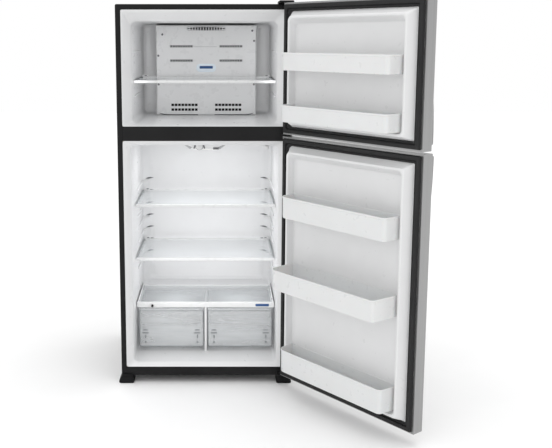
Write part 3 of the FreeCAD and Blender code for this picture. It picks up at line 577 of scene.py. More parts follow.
def build_freezer_liner():
    """The freezer tub, with ledges for the shelf and ridges on its floor."""
    low, high = box_of("freezer_liner")
    cover_low, cover_high = box_of("evaporator_cover")
    mouth = (high.x - LINER, low.z + LINER, high.z - LINER)
    half = box_of("freezer_shelf_frame")[1].x + 1 * MM
    floor, ceiling, rear = cover_low.z, cover_high.z + 9 * MM, high.y - LINER
    rings = flared_rings(low.y, mouth, (half, floor, ceiling), [
        (0, 0, 7), (1.5, 0.07, 9), (5, 0.16, 11), (13, 0.3, 14), (44, 0.93, 22), (50, 0.985, 24),
        (57, 1, 24)])
    for inset, back in ((0, 26), (1.5, 14), (5, 5), (12, 1), (22, 0)):
        rings.append(facing((-half + inset * MM, floor + inset * MM),
                            (half - inset * MM, ceiling - inset * MM), 24 * MM, rear - back * MM))
    bm = bmesh.new()
    loft(bm, rings, cap_last=True)
    face_to(bm, (0, 0, (low.z + high.z) / 2))
    thicken(publish(bm, "freezer_tub", "white_liner", ["freezer_liner"]), LINER)

    ribs = bmesh.new()
    for level in mm(1474.5, 1335.5, 1279.5):
        for side in (-1, 1):
            ledge = [((side * half, y), (-side, 0)) for y in mm(-192, -184, 54, 62)]
            rib(ribs, ledge, level, 6.5 * MM, 7 * MM)
    for side in (-1, 1):
        for i in range(4):
            x = side * (62 + 46 * i) * MM
            foot = ((x - 15 * MM, 96 * MM), (x + 15 * MM, 106 * MM), 4 * MM)
            crest = ((x - 12 * MM, 99 * MM), (x + 12 * MM, 103 * MM), 1.5 * MM)
            solid(ribs, [lying(*foot, floor - 0.5 * MM), lying(*foot, floor + 1 * MM),
                         lying(*crest, floor + 2 * MM)])
    publish(tidy(ribs), "freezer_tub_ribs", "white_liner")


def build_fridge_liner():
    """The fresh food tub, with a step over the compressor and cut-off rear corners."""
    low, high = box_of("fridge_liner")
    mouth = (high.x - LINER, low.z + LINER, high.z - LINER)
    half, floor, ceiling = FRIDGE_HALF, FRIDGE_FLOOR, FRIDGE_CEILING
    to_rear, r = high.y - LINER - 270 * MM, 18 * MM
    rings = flared_rings(low.y, mouth, (half, floor, ceiling), [
        (0, 0, 9), (1.2, 0.1, 10), (4, 0.25, 12), (17, 0.9, 17), (21, 0.985, 18), (27, 1, 18)])
    run = [(STEP_Y - r + r * math.sin(a), floor + r - r * math.cos(a)) for a in quarter(5)]
    run += [(STEP_Y + r - r * math.cos(a), STEP_Z - r + r * math.sin(a)) for a in quarter(5)]
    rings += [facing((-half, bottom), (half, ceiling), r, y) for y, bottom in run]
    for y, inset in ((212, 0), (222, 1), (229, 5), (258, 28), (264, 34), (268, 42), (270, 52)):
        lift = max(0, (y - 258) / 12) * 14 * MM
        rings.append(facing((-half + inset * MM, STEP_Z + lift), (half - inset * MM,
                            ceiling - lift), r, y * MM + to_rear))
    bm = bmesh.new()
    loft(bm, rings, cap_last=True)
    face_to(bm, (0, -0.05, 0.6))
    thicken(publish(bm, "fridge_tub", "white_liner", ["fridge_liner"]), LINER)

    ribs, slot_shadows = bmesh.new(), bmesh.new()
    shelf_top = box_of("shelf_frames")[1].z
    slant = math.atan2(45, 35)
    for step in range(-1, 6):
        z = shelf_top - (17 + 62.5 * step) * MM
        for side in (-1, 1):
            wall = [((side * half, y), (-side, 0)) for y in mm(-64, -56, 206)]
            away = (-side * math.sin(slant), -math.cos(slant))
            corner = [((side * (half - inset * MM), y * MM), away)
                      for inset, y in ((4, 228), (26, 256), (30, 261))]
            rib(ribs, wall + corner, z, 7 * MM, 8 * MM)
            # painted shadow: a dark strip where the slot in the rear corner lies in shade
            bend = [(side * (half - inset * MM), y * MM + to_rear, z + 8 * MM)
                    for inset, y in ((13, 240), (21, 249.5), (28, 258), (34, 264), (42, 268),
                                     (51, 270))]
            build_slot_shadow(slot_shadows, bend, away)
    build_switch_boss(ribs)
    publish(tidy(ribs), "fridge_tub_ribs", "white_liner")
    publish(tidy(slot_shadows), "fridge_tub_pockets", "dark_trim_and_painted_shade")


def build_slot_shadow(bm, wall, inward):
    """A dark strip painted as the shadow inside a slot around a rear corner, where the hook of a
    shelf can rest.

    wall holds the (x, y, z) points that the slot follows."""
    rings = []
    for i, spot in enumerate(wall):
        tall = 0.4 * MM + 4 * MM * math.sin(math.pi * i / (len(wall) - 1))
        rings.append([(spot[0] + inward[0] * reach, spot[1] + inward[1] * reach, spot[2] + rise)
                      for reach, rise in ((-1 * MM, -tall), (1.2 * MM, -tall * 0.8),
                                          (1.2 * MM, tall * 0.8), (-1 * MM, tall))])
    solid(bm, rings)


def build_switch_boss(bm):
    """The hollow boss under the ceiling that carries the door switch."""
    low, high = box_of("door_light_switch")
    gap, wall = 0.5 * MM, 5.5 * MM
    front, rear = low.y + 9.5 * MM, high.y + 14 * MM
    outer = ((low.x - gap - wall, low.z - 4 * MM),
             (high.x + gap + wall, FRIDGE_CEILING + 1 * MM))
    inner = ((low.x - gap, low.z - gap), (high.x + gap, high.z + gap))
    solid(bm, [facing(*corners, radius * MM, y) for corners, y, radius in (
        (outer, rear, 3), (outer, front + 1.5 * MM, 3), (outer, front, 1.5), (inner, front, 0.8),
        (inner, high.y + 8 * MM, 0.8))])


def build_feet():
    """Boot-shaped covers over the front feet, flared towards the floor."""
    low, high = box_of("foot_covers")
    inner, rear, tongue_foot = 320 * MM, -268 * MM, 30 * MM
    bm = bmesh.new()
    for side in (-1, 1):
        rings = []
        for z, out, back, radius in (
                (0, 3.5, 3, 8), (1, 1.2, 1, 9), (4, 0, 0, 10), (9, 0.5, 0.4, 10),
                (18, 4, 3, 10), (26, 8.5, 7, 9), (33.3, 11.5, 10, 8)):
            left, right = span(side, inner + min(out, 4) * 0.4 * MM, high.x - out * MM)
            rings.append(lying((left, low.y + back * MM), (right, rear), radius * MM, z * MM))
        solid(bm, rings)
        left, right = span(side, inner + 6 * MM, high.x - 14 * MM)
        solid(bm, [facing((left + inset * MM, tongue_foot), (right - inset * MM,
                          high.z - inset * MM), 4 * MM, low.y + depth * MM)
                   for depth, inset in ((13.2, 0), (6, 0), (4.4, 1.2))])
    publish(tidy(bm), "foot_boots", "black_plastic", ["foot_covers"])


# ---------------- shelves


def glass_pane(bm, low, high):
    """A pane with ground edges; its rims take the second material."""
    bevel = 0.7 * MM
    made = loft(bm, [lying((low.x + inset, low.y + inset), (high.x - inset, high.y - inset),
                           4 * MM, z)
                     for z, inset in ((low.z, bevel), (low.z + bevel, 0), (high.z - bevel, 0),
                                      (high.z, bevel))], cap_first=True, cap_last=True)
    rim = {v for ring in made for v in ring}
    for face in bm.faces:
        if len(face.verts) == 4 and all(v in rim for v in face.verts):
            face.material_index = 1


def trim_bar(bm, x_half, front, depth, low, high, nose):
    """A moulded bar across the front or back of a shelf, with a round nose."""
    points = rounded_rect((front, low), (front + depth, high), nose, steps=4)
    bar(bm, points, -x_half, x_half)


def build_hook(trim, hooks, side, spot):
    """The shoulder at a rear corner of a shelf, and the dark hook that shows through it."""
    for bm, reach, bottom, top, radius, front, rear in (
            (trim, (-14, 14), -3, 9, 3, -3, 3), (hooks, (-8, 3), 3.4, 7.4, 1.2, -3.8, -2),
            (hooks, (-13, 13), -1, 0.6, 0.7, -3.6, -2)):
        left, right = span(side, *(spot.x + x * MM for x in reach))
        bar(bm, rounded_rect((left, spot.z + bottom * MM), (right, spot.z + top * MM),
                             radius * MM), spot.y + front * MM, spot.y + rear * MM, axis=1)


def build_shelf_set(name, frame_node, glass_node, levels, gap_shadow_look, gap_shadow_width, lip):
    """Glass shelves: front and rear trims, a dark strip at each side painted as the shadow in the
    gap between shelf and wall, and the pane between them.
    """
    low, high = box_of(frame_node)
    trim, gap_shadows, glass, hooks = [bmesh.new() for _ in range(4)]
    for top, height in levels:
        trim_bar(trim, high.x - 1 * MM, low.y, 13 * MM, top - height, top, mm(5, 1.5, 1.5, 3.5))
        trim_bar(trim, high.x - 6 * MM, low.y + 12 * MM, lip, top - height, top - 5 * MM,
                 1 * MM)
        trim_bar(trim, high.x - 5 * MM, high.y - 12 * MM, 12 * MM, top - 9 * MM, top,
                 mm(1, 3, 2, 1))
        pane_half = high.x - gap_shadow_width - 1 * MM
        for side in (-1, 1):
            # painted gap shadow: a dark strip along each side, where the shelf meets the wall
            left, right = span(side, high.x - 0.5 * MM, high.x - 0.5 * MM - gap_shadow_width)
            points = rounded_rect((left, top - 9.5 * MM), (right, top - 0.3 * MM), 0.8 * MM)
            bar(gap_shadows, points, low.y + 12 * MM, high.y - 3 * MM, axis=1)
            left, right = span(side, pane_half - 1 * MM, pane_half - 10 * MM)
            points = rounded_rect((left, top - 7.5 * MM), (right, top - 4.4 * MM), 0.8 * MM)
            bar(trim, points, low.y + 12 * MM, high.y - 6 * MM, axis=1)
            build_hook(trim, hooks, side, Vector((high.x - 20 * MM, high.y - 5 * MM, top)))
        glass_pane(glass, Vector((-pane_half, low.y + 12.5 * MM, top - 4 * MM)),
                   Vector((pane_half, high.y - 11 * MM, top - 0.4 * MM)))
    ease(publish(tidy(trim), name + "_trims", "white_plastic", [frame_node]), 0.4 * MM)
    publish(tidy(gap_shadows), name + "_rails", gap_shadow_look)
    publish(tidy(hooks), name + "_hooks", "dark_trim_and_painted_shade")
    publish(tidy(glass), name + "_panes", ["shelf_glass", "glass_edge"], [glass_node],
            crease=20)


def build_shelves():
    low, high = box_of("shelf_frames")
    thick = 13 * MM
    build_shelf_set("shelf", "shelf_frames", "shelf_glass",
                    [(high.z, thick), (low.z + thick, thick)], "shelf_gap_shadow_grey", 2.4 * MM, 8 * MM)
    low, high = box_of("freezer_shelf_frame")
    build_shelf_set("freezer_shelf", "freezer_shelf_frame", "freezer_shelf_glass",
                    [(high.z, high.z - low.z)], "dark_trim_and_painted_shade", 8 * MM, 6 * MM)


def build_crisper_cover():
    """The crisper lid: a deeper front trim with the slider's bed, and a centre support."""
    low, high = box_of("crisper_cover_frame")
    front, top, height = low.y, high.z, 24 * MM
    trim, gap_shadows, glass = [bmesh.new() for _ in range(3)]
    bed = mm(-262, -196)
    for xs in ((-high.x + 1 * MM, bed[0]), (bed[1], high.x - 1 * MM)):
        bar(trim, rounded_rect((front, top - height), (front + 15 * MM, top),
                               mm(4, 1.5, 1.5, 4), 4), *xs)
    bar(trim, rounded_rect((front + 4 * MM, top - height), (front + 15 * MM, top), 1 * MM), *bed)
    for edge, thick in ((0, 8.5), (21, 3)):
        z = top - edge * MM
        bar(trim, rounded_rect((front, z - thick * MM), (front + 6 * MM, z), 1.2 * MM), *bed)
    bar(trim, rounded_rect((high.y - 16 * MM, top - 15 * MM), (high.y, top), 2 * MM),
        -high.x + 5 * MM, high.x - 5 * MM)
    web = ((-2.5 * MM, front + 18 * MM), (2.5 * MM, high.y - 8 * MM), 1 * MM)
    solid(trim, [lying(*web, z) for z in (low.z, top - 14 * MM)])
    post = ((-5.5 * MM, front + 12 * MM), (5.5 * MM, front + 22 * MM), 2 * MM)
    solid(trim, [lying(*post, z) for z in (low.z, top - height + 1 * MM)])
    # painted gap shadow: a dark strip at each side, where the lid meets the wall, rising at the
    # rear into a dark hook
    for side in (-1, 1):
        outer = high.x - 2.6 * MM
        left, right = span(side, high.x - 0.3 * MM, outer)
        bar(gap_shadows, rounded_rect((left, top - 20 * MM), (right, top - 0.2 * MM), 0.8 * MM),
            front + 13 * MM, high.y - 3 * MM, axis=1)
        bar(gap_shadows, [(high.y - back * MM, top + rise * MM)
                    for back, rise in ((16, -3), (3, -3), (2, 9), (7, 9))], left, right)
        for reach, bottom, rise, rear in ((15, -9, -4.2, 6), (9, -5, 0, 4)):
            left, right = span(side, outer, high.x - reach * MM)
            bar(trim, rounded_rect((left, top + bottom * MM), (right, top + rise * MM), 1 * MM),
                front + 14 * MM, high.y - rear * MM, axis=1)
    glass_pane(glass, Vector((-high.x + 9.2 * MM, front + 14 * MM, top - 4 * MM)),
               Vector((high.x - 9.2 * MM, high.y - 15 * MM, top - 0.4 * MM)))
    ease(publish(tidy(trim), "crisper_lid_trim", "white_plastic", ["crisper_cover_frame"]),
         0.4 * MM)
    publish(tidy(gap_shadows), "crisper_lid_rails", "dark_trim_and_painted_shade")
    publish(tidy(glass), "crisper_lid_pane", ["shelf_glass", "glass_edge"],
            ["crisper_cover_glass"], crease=20)
    label = (262 * MM, front - 0.5 * MM, top - 12 * MM)
    patch("crisper_label", "blue_patch", label, 62 * MM, 12 * MM, 2 * MM)


def patch(name, look, center, width, height, radius):
    """A plain printed plate without any writing, facing the doors."""
    lift = 0.5 * MM
    x, y, z = center
    half, tall = width / 2, height / 2
    bm = bmesh.new()
    solid(bm, [facing((x - half + inset, z - tall + inset), (x + half - inset, z + tall - inset),
                      radius - inset, y + depth)
               for depth, inset in ((0.4 * MM, 0), (-lift + 0.2 * MM, 0), (-lift, 0.3 * MM))])
    publish(tidy(bm), name, look)


# ---------------- tubs


def tub_rings(plan, base, top, wall, bead):
    """Closed rings for an open tub with a rounded floor and a bead around its rim.

    plan(inset) gives the outline, shrunk by inset."""
    steps = [(5.0, base), (2.4, base + 1 * MM), (bead + 0.6, base + 4 * MM),
             (bead, base + 9 * MM), (bead * 0.75, top - 8.5 * MM), (0.35, top - 7.4 * MM),
             (0, top - 6 * MM), (0, top - 1.3 * MM), (0.7, top - 0.2 * MM), (1.3, top),
             (wall - 0.2, top), (wall + 0.6, top - 0.8 * MM), (wall + 0.8, top - 6 * MM),
             (bead + wall, base + 9 * MM), (bead + wall + 1.4, base + 5 * MM),
             (bead + wall + 5, base + 3 * MM)]
    return [[(x, y, z) for x, y in plan(inset * MM)] for inset, z in steps]


def build_bin(name, node, turn, door, lean):
    """A door bin: a tub whose ends lean in, squarer at the door's free edge."""
    low, high = box_of(node, turn)
    rear, front = low.y, high.y

    def plan(inset):
        back_half, front_half = high.x - inset, high.x - lean - inset
        corners = [(-back_half, rear + inset), (back_half, rear + inset),
                   (front_half, front - inset), (-front_half, front - inset)]
        return outline(corners, [3 * MM, 3 * MM, 42 * MM - inset, 18 * MM - inset], 6)

    bm = bmesh.new()
    solid(bm, tub_rings(plan, low.z, high.z, 2.6, 1.8))
    publish(tidy(bm), name, "bin_plastic", [node], door, turn=turn)

    # painted shade: a thin dark line and a dot at each end, where the notch and hole that hold the
    # bin lie in shadow
    marks = bmesh.new()
    for side in (-1, 1):
        x = side * (high.x + 0.8 * MM)
        for half, back, bottom, top in ((0.9 * MM, 5.5 * MM, low.z + 6 * MM, high.z - 14 * MM),
                                        (1.6 * MM, 8 * MM, low.z + 2 * MM, low.z + 7 * MM)):
            block(marks, (x - half, rear + 2 * MM, bottom), (x + half, rear + back, top))
    ease(publish(tidy(marks), name + "_notch_shadows", "dark_trim_and_painted_shade", body=door,
                 turn=turn), 0.4 * MM)


def build_crisper(name):
    """A clear drawer with a lipped rim, a finger grip and moulded bosses."""
    low, high = box_of(name)
    front, top = low.y + 10 * MM, high.z
    body = frame["nodes"][name]["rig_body"]

    def plan(inset):
        return rounded_rect((low.x + inset, front + inset), (high.x - inset, high.y - inset),
                            max(14 * MM - inset, 1 * MM), 6)

    def grip(inset, z):
        return lying((low.x + (20 + inset) * MM, low.y + inset * MM),
                     (high.x - (20 + inset) * MM, front + 1.5 * MM),
                     mm(7 - inset, 7 - inset, 1, 1), z)

    bm, bosses = bmesh.new(), bmesh.new()
    solid(bm, tub_rings(plan, low.z, top, 2.4, 2.2))
    solid(bm, [grip(inset, top - drop * MM)
               for inset, drop in ((1, 8), (0, 7), (0, 4.5), (1, 3.5))])
    for x in (low.x + 32 * MM, high.x - 32 * MM):
        for lift, half_wide, half_high in ((22, 4.5, 4.5), (50, 3.5, 8), (68, 15, 3.2),
                                           (82, 11, 2.4)):
            z = low.z + lift * MM
            boss = []
            for reach, trim in ((5.2, 0), (1, 0.2), (0.2, 1.6)):
                wide, tall = mm(half_wide - trim, half_high - trim)
                boss.append(facing((x - wide, z - tall), (x + wide, z + tall),
                                   min(wide, tall) * 0.95, front + reach * MM))
            solid(bosses, boss)
    publish(tidy(bm), name + "_box", "clear_drawer", [name], body)
    # painted shade: the bosses take a dark grey, for the dark edges that clear bosses show
    publish(tidy(bosses), name + "_bosses", "painted_clear_edge_shade", body=body)

    # the thick moulded edge around the front face, dark grey as painted shade of the clear
    # plastic's thick edge
    edge = bmesh.new()
    bend, y = 12 * MM, front + 2.2 * MM
    left, right, bottom = low.x + 3.4 * MM, high.x - 3.4 * MM, low.z + 2.2 * MM + bend
    ends = [(left, y, top - 15 * MM), (right, y, top - 15 * MM)]
    bends = [(x + math.cos(start + a) * bend, y, bottom + math.sin(start + a) * bend)
             for x, start in ((left + bend, math.pi), (right - bend, 1.5 * math.pi))
             for a in quarter(6)]
    wire(edge, [ends[0], *bends, ends[1]], 1.5 * MM)
    wire(edge, ends, 1.1 * MM)
    publish(tidy(edge), name + "_edge", "painted_clear_edge_shade", body=body)


# ---------------- doors


def build_door_liner(node, turn, door):
    """The door's formed inner liner: a raised border around a shallow tray."""
    low, high = box_of(node, turn)
    base, crest = low.y + 2 * MM, high.y
    floor = base + 4.5 * MM
    rings = []
    # insets at the sides, bottom and top, level, rise, radii at the hinge and the free edge
    for *inset, level, rise, hinge, free in (
            (0, 0, 0, base, 0, 2, 2), (33.5, 31, 31, base, 0, 24, 7),
            (34.6, 32.2, 32.4, base, 1.2, 24, 7), (51.2, 42.6, 48.4, crest, -3.4, 22, 12),
            (52.4, 43.4, 49.4, crest, -1.2, 22, 13), (54.6, 45.2, 51.4, crest, 0, 22, 14),
            (60, 50.5, 56.6, crest, 0, 20, 16), (62, 52.4, 59, crest, -1, 19, 17),
            (63.2, 53.8, 61.4, crest, -3.5, 19, 18), (68.6, 59.4, 77.6, floor, 3.5, 18, 20),
            (70, 60.6, 80.6, floor, 1, 18, 21), (73.5, 63.6, 85, floor, 0, 18, 22)):
        rings.append(shrunk(low, high, tuple(inset), mm(free, hinge, hinge, free),
                            level + rise * MM, 6))
    bm = bmesh.new()
    loft(bm, rings, cap_last=True)
    face_to(bm, (0, 1, (low.z + high.z) / 2))
    thicken(publish(bm, door + "_inner", "white_liner", [node], door, turn=turn), 2 * MM)


def build_foam(node, turn, door):
    """The foam between the skin and the inner liner, rounded where the liner is."""
    low, high = box_of(node, turn)
    liner_low, liner_high = box_of(door + "_liner", turn)
    base, crest = liner_low.y - 0.2 * MM, liner_high.y - 5 * MM
    rings = [shrunk(low, high, inset, 1 * MM, y, 6)
             for y, inset in ((low.y, 5), (low.y + 1.6 * MM, 2), (low.y + 5 * MM, 0.2),
                              (base, 0.2))]
    rings += [shrunk(liner_low, liner_high, inset, mm(free, hinge, hinge, free), y, 6)
              for inset, y, hinge, free in (
                  ((38, 35, 35), base, 22, 6), ((55.5, 47, 53), crest, 20, 10),
                  ((59, 49.5, 56), crest, 19, 13), ((64, 55, 71), base + 1.5 * MM, 18, 18),
                  ((66, 57, 76), base, 18, 18))]
    bm = bmesh.new()
    solid(bm, rings)
    publish(tidy(bm), door + "_foam", "foam", [node], door, turn=turn)


def build_gasket(node, turn, door):
    """The magnetic seal: a dart, a folding bellows, a flat magnet pocket and a wiping fin."""
    low, high = box_of(node, turn)
    rings = []
    for inset, lift in (
            (0.3, 0), (0, 1.5), (0.6, 3), (2.6, 4.2), (3.4, 6), (1.8, 8.2), (1.6, 10.2),
            (2.6, 11.3), (4.4, 11.5), (15, 11.5), (16.4, 10.9), (16.8, 9.4), (15.2, 7.4),
            (16, 5.8), (18.4, 5.4), (20.6, 6.8), (22.6, 8.4), (24.2, 8.8), (25.2, 8), (25, 6.2),
            (26.2, 4.4), (28.6, 3.2), (30, 1.6), (30, 0)):
        free, hinge = 1.5 + inset * 0.12, 1.5 + inset * 0.75
        rings.append(shrunk(low, high, inset, mm(free, hinge, hinge, free), low.y + lift * MM, 6))
    bm = bmesh.new()
    hoop(bm, rings)
    publish(tidy(bm), door + "_seal", "gasket_vinyl", [node], door, turn=turn, crease=50)


def build_handle(node, turn, door):
    """A swept bar, proud at the end near the other door and thinning to nothing."""
    low, high = box_of(node, turn)
    near, sign = (low.z, 1) if door == "freezer_door" else (high.z, -1)
    length, proud, face = high.z - low.z, high.y - low.y, high.y
    bar_depth, foot, lead = mm(14, 26, 6)
    outer, inner = [], []
    steps, inner_end, tail_end = 40, 0.79, 0.81
    for i in range(steps + 1):
        t = i / steps
        depth = proud * (1 - t ** 2.2)
        along = lead + (length - lead) * t
        outer.append((face - depth, near + sign * along))
        if foot < along < length * inner_end:
            inner.append((face - max(depth - bar_depth, 1.2 * MM), near + sign * along))
    corner = [(face, near), (face - proud * 0.55, near),
              (face - proud * 0.9, near + sign * 1.5 * MM)]
    throat = [(face - proud + bar_depth, near + sign * foot), (face, near + sign * foot)]
    tail = [(face, near + sign * length * tail_end)]
    bm = bmesh.new()
    bar(bm, corner + outer + tail + inner[::-1] + throat, low.x, high.x)
    ease(publish(tidy(bm), door + "_grip", "handle_metal", [node], door, turn=turn), 2.2 * MM, 3,
         50)


def build_doors():
    """What each door carries; lean is how far its bins narrow towards their fronts."""
    for door, lean, bins in (
            ("freezer_door", 1 * MM, ("freezer_upper_bin", "freezer_lower_bin")),
            ("fridge_door", 8 * MM, ("fridge_upper_bin", "gallon_bin", "fridge_lower_bin"))):
        turn = opening_turn(door + "_hinge")
        build_door_liner(door + "_liner", turn, door)
        build_foam(door + "_insulation", turn, door)
        build_gasket(door + "_gasket", turn, door)
        build_handle(door.replace("door", "handle"), turn, door)
        for node in bins:
            build_bin(node + "_tub", node, turn, door, lean)


# ---------------- freezer and ceiling details


def build_housing():
    """The housing under the fresh food ceiling: sloped ends, an air slot and a lamp window."""
    low, high = box_of("control_housing")
    ceiling = high.z + 1 * MM
    bm = bmesh.new()
    rings = []
    for y, top_half, low_half, bottom in (
            (0, 104, 56, 17), (3, 109, 61, 12), (9, 111, 65, 8), (24, 111, 68, 6),
            (200, 101, 66, 0.5), (216, 98, 64, 2.5), (224, 94, 60, 7), (226, 90, 56, 12)):
        wide, narrow, foot = top_half * MM, low_half * MM, low.z + bottom * MM
        ring = outline([(-wide, ceiling), (-narrow, foot), (narrow, foot), (wide, ceiling)],
                       mm(0.5, 5, 5, 0.5))
        rings.append([(x, low.y + y * MM, z) for x, z in ring])
    solid(bm, rings)
    # painted shade: the sloped ends take the grey look, as they face away from the light
    for face in bm.faces:
        if abs(face.calc_center_median().x) > 66 * MM:
            face.material_index = 1
    publish(tidy(bm), "ceiling_housing", ["white_plastic", "mid_grey_and_painted_shade"], ["control_housing"])

    # the dial's collar, the two strokes that lead down from it, and two dark bars painted as the
    # shade inside two air slots
    detail = bmesh.new()
    dial = sum(box_of("temperature_dial"), Vector()) / 2
    hoop(detail, [[(dial.x + math.cos(a) * radius * MM, low.y + depth * MM,
                    dial.z + math.sin(a) * radius * MM) for a in around(32)]
                  for depth, radius in ((6, 17.6), (-2, 17.6), (-3, 17), (-3, 15.8), (-1, 15.4),
                                        (6, 15.4))])
    for side in (-1, 1):
        stroke = [(dial.x + side * a * MM, low.z + b * MM)
                  for a, b in ((15, 37), (19.5, 37), (26, 12), (20.5, 12))]
        bar(detail, stroke, low.y - 2 * MM, low.y + 8 * MM, axis=1)
    for rise in mm(8, 13.5):
        z = low.z + rise
        block(detail, (36 * MM, low.y - 1.2 * MM, z), (62 * MM, low.y + 8 * MM, z + 3.4 * MM))
    publish(tidy(detail), "housing_details", "dark_trim_and_painted_shade")

    def slope(y):
        return low.z + (low.y + 196 * MM - y) * 0.028

    lens = bmesh.new()
    rings = []
    for sink, inset in ((4, 0), (-2.2, 0), (-4.6, 2.5), (-5.6, 8)):
        ring = rounded_rect(((-56 + inset) * MM, low.y + (84 + inset) * MM),
                            ((56 - inset) * MM, low.y + (196 - inset) * MM), 14 * MM)
        rings.append([(x, y, slope(y) + sink * MM) for x, y in ring])
    solid(lens, rings)
    for i in range(9):
        y = low.y + (96 + 11 * i) * MM
        block(lens, (-44 * MM, y, slope(y) - 8 * MM), (44 * MM, y + 3 * MM, slope(y) - 3 * MM))
    ease(publish(tidy(lens), "lamp_window", "lamp_glass", ["lamp", "lamp_socket"]), 0.6 * MM)


def bezel(bm, center, front, half_wide, half_tall, border, radius):
    """A low frame around a slot in the evaporator cover."""
    x, z = center
    loft(bm, [facing((x - half_wide - grow, z - half_tall - grow),
                     (x + half_wide + grow, z + half_tall + grow), radius + grow,
                     front + reach * MM)
              for grow, reach in ((border, 1), (border, -0.8), (border - 0.5 * MM, -1.3),
                                  (0.3 * MM, -1.3), (0, -0.8), (0, 1))])


def build_cover_details():
    """The evaporator cover's dark strips painted as the shadow of the gap under it, frames of its
    slots, dark plates painted as the shade behind its slots, and plates.
    """
    low, high = box_of("evaporator_cover")
    front = low.y
    flat_share = 0.78  # of a dark strip painted as gap shadow, before it turns up
    bm = bmesh.new()
    # painted shadow: dark strips along the cover's foot, where the gap under the cover lies in
    # shade, turned up at the outer ends
    for side in (-1, 1):
        rings = []
        for k in range(15):
            t = k / 14
            x = side * (40 + 190 * t) * MM
            z = low.z + 2.4 * MM + max(0, (t - flat_share) / (1 - flat_share)) ** 2 * 9 * MM
            size = 1.6 * MM if k < 14 else 0.7 * MM
            rings.append([(x, front - 1.5 * MM + math.cos(a) * size, z + math.sin(a) * size)
                          for a in around(8)])
        solid(bm, rings)
    publish(tidy(bm), "cover_gap_shadow_strips", "rubber")
    patch("cover_line", "mid_grey_and_painted_shade", (-0.004, front, 1.494), 112 * MM, 1.6 * MM, 0.8 * MM)

    # the middles of the louvres, of the two return slots and of the slot at the top
    top = high.z - 16 * MM
    louvres = [(side * 0.119, z) for z in (1.496, 1.428) for side in (-1, 1)]
    returns = [(side * 0.106, 1.2035) for side in (-1, 1)]
    frames = bmesh.new()
    bezel(frames, (0, top), front, 91 * MM, 7.5 * MM, 2 * MM, 7.4 * MM)
    for place in louvres:
        bezel(frames, place, front, 54 * MM, 4 * MM, 1.8 * MM, 1 * MM)
    publish(tidy(frames), "vent_frames", "mid_grey_and_painted_shade")
    # painted shade: dark plates just behind the slots, standing for the shadow inside them
    behind = front + 3.2 * MM
    for name, look, slots in (
            ("return_screens", "black_plastic",
             [(place, 66, 19) for place in returns] + [((0, top), 92, 8)]),
            ("louvre_screens", "dark_trim_and_painted_shade", [(place, 56, 6) for place in louvres])):
        shade_plates = bmesh.new()
        for (x, z), wide, tall in slots:
            block(shade_plates, (x - wide * MM, behind, z - tall * MM),
                  (x + wide * MM, behind + 1 * MM, z + tall * MM))
        publish(tidy(shade_plates), name, look)
    patch("cover_plate", "pale_patch", (0, front, 1.393), 96 * MM, 40 * MM, 19.5 * MM)
    patch("cover_label", "blue_patch", (0, front - 0.5 * MM, 1.396), 64 * MM, 13 * MM, 3 * MM)


# ---------------- put together

for node_name, slot_name in SLOT_OF.items():
    materials = frame["nodes"][node_name].data.materials
    materials.clear()
    materials.append(LOOKS[slot_name].material)

build_shell()
build_back()
build_cabinet_foam()
build_freezer_liner()
build_fridge_liner()
build_feet()
build_shelves()
build_crisper_cover()
for drawer_name in ("left_crisper", "right_crisper"):
    build_crisper(drawer_name)
build_doors()
build_cover_details()
build_housing()

for node_name, edge_width, other_look in (
        ("center_mullion", 0.4, None), ("bottom_rail", 0.4, None), ("machine_cover", 0.4, None),
        ("evaporator_cover", 0.5, None), ("temperature_dial", 0.6, None),
        ("humidity_slider", 0.6, "black_plastic"), ("top_hinge_cover", 0.5, None),
        ("middle_hinge", 0.5, None), ("bottom_hinge", 0.5, None), ("screws", 0.3, None),
        ("compressor", 1, None), ("power_inlet", 0.8, None)):
    soften(node_name, edge_width * MM, other_look)


# ---------------- floor, light and camera


def build_stage():
    look = Look("pale_floor", (0.9, 0.9, 0.9), 0.6)
    look.mottle(look.noise(400 * MM, detail=3), 0.01)
    bm = bmesh.new()
    reach = 14
    loft(bm, [[(-reach, -reach, 0), (reach, -reach, 0)], [(-reach, reach, 0), (reach, reach, 0)]],
         closed=False)
    mesh = bpy.data.meshes.new("floor")
    bm.to_mesh(mesh)
    bm.free()
    mesh.materials.append(look.material)
    enter("floor", mesh)


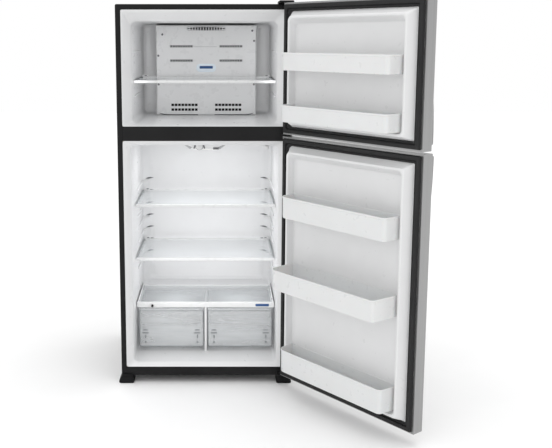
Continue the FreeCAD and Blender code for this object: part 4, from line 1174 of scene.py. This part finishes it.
def area_light(name, place, target, size, power, unseen=False):
    light = bpy.data.lights.new(name, "AREA")
    light.shape = "RECTANGLE"
    light.size, light.size_y = size
    light.energy = power
    if unseen:
        light.color = (0.985, 0.985, 1)
        light.spread = math.radians(80)
    lamp = enter(name, light)
    lamp.location = place
    lamp.visible_camera = not unseen
    aim = Vector(target) - Vector(place)
    lamp.rotation_euler = aim.to_track_quat("-Z", "Y").to_euler()


def build_lights():
    world = bpy.data.worlds.new("studio")
    world.use_nodes = True
    sky = world.node_tree.nodes["Background"]
    sky.inputs["Color"].default_value = (1, 1, 1, 1)
    sky.inputs["Strength"].default_value = 1
    bpy.context.scene.world = world
    area_light("key", (-1.8, -4.2, 3.0), (0, 0, 0.9), (2.4, 2.4), 8)
    area_light("fill", (2.6, -4.0, 2.2), (0.3, -0.3, 0.8), (2.4, 2.4), 5)
    area_light("fridge_glow", (0, -0.05, 1.025), (0, 0.05, 0), (0.5, 0.3), 0.55)
    # soft light through the two openings, and soft globes inside, that no view shows
    area_light("fridge_wash", (0, -0.32, 0.45), (0, 1, 0.3), (0.6, 0.6), 0.25, unseen=True)
    for side in (-1, 1):
        x = side * 0.285
        area_light("freezer_side", (x, -0.3, 1.38), (side * 0.3, 1, 1.38), (0.03, 0.36), 0.05,
                   unseen=True)
    for height, power in ((0.93, 0.45), (0.66, 0.28), (0.42, 0.52), (1.47, 0.15), (1.25, 0.15)):
        for side in (-1, 1):
            globe = bpy.data.lights.new("globe", "POINT")
            globe.energy = power
            globe.color = (0.985, 0.985, 1)
            globe.shadow_soft_size = 0.08
            glow = enter("globe", globe)
            glow.location = (side * 0.15, -0.12, height)
            glow.visible_camera = glow.visible_glossy = False
    overhead = bpy.data.lights.new("overhead", "SUN")
    overhead.energy = 0.8
    overhead.angle = math.radians(70)
    enter("overhead", overhead).location = (0, 0, 4)


def build_camera():
    camera = bpy.data.cameras.new("view")
    camera.sensor_width = 36
    camera.lens = 56.15
    camera.shift_x = 0.1
    camera.shift_y = -0.08
    viewer = enter("view", camera)
    viewer.location = (0.074, -4.023, 1.532)
    viewer.rotation_euler = (math.radians(90 - 9.31), 0, math.radians(0.05))
    bpy.context.scene.camera = viewer
    bpy.context.scene.view_settings.view_transform = "Standard"


build_stage()
build_lights()
build_camera()


def corners(bounds):
    return [[float(value) for value in corner] for corner in bounds]
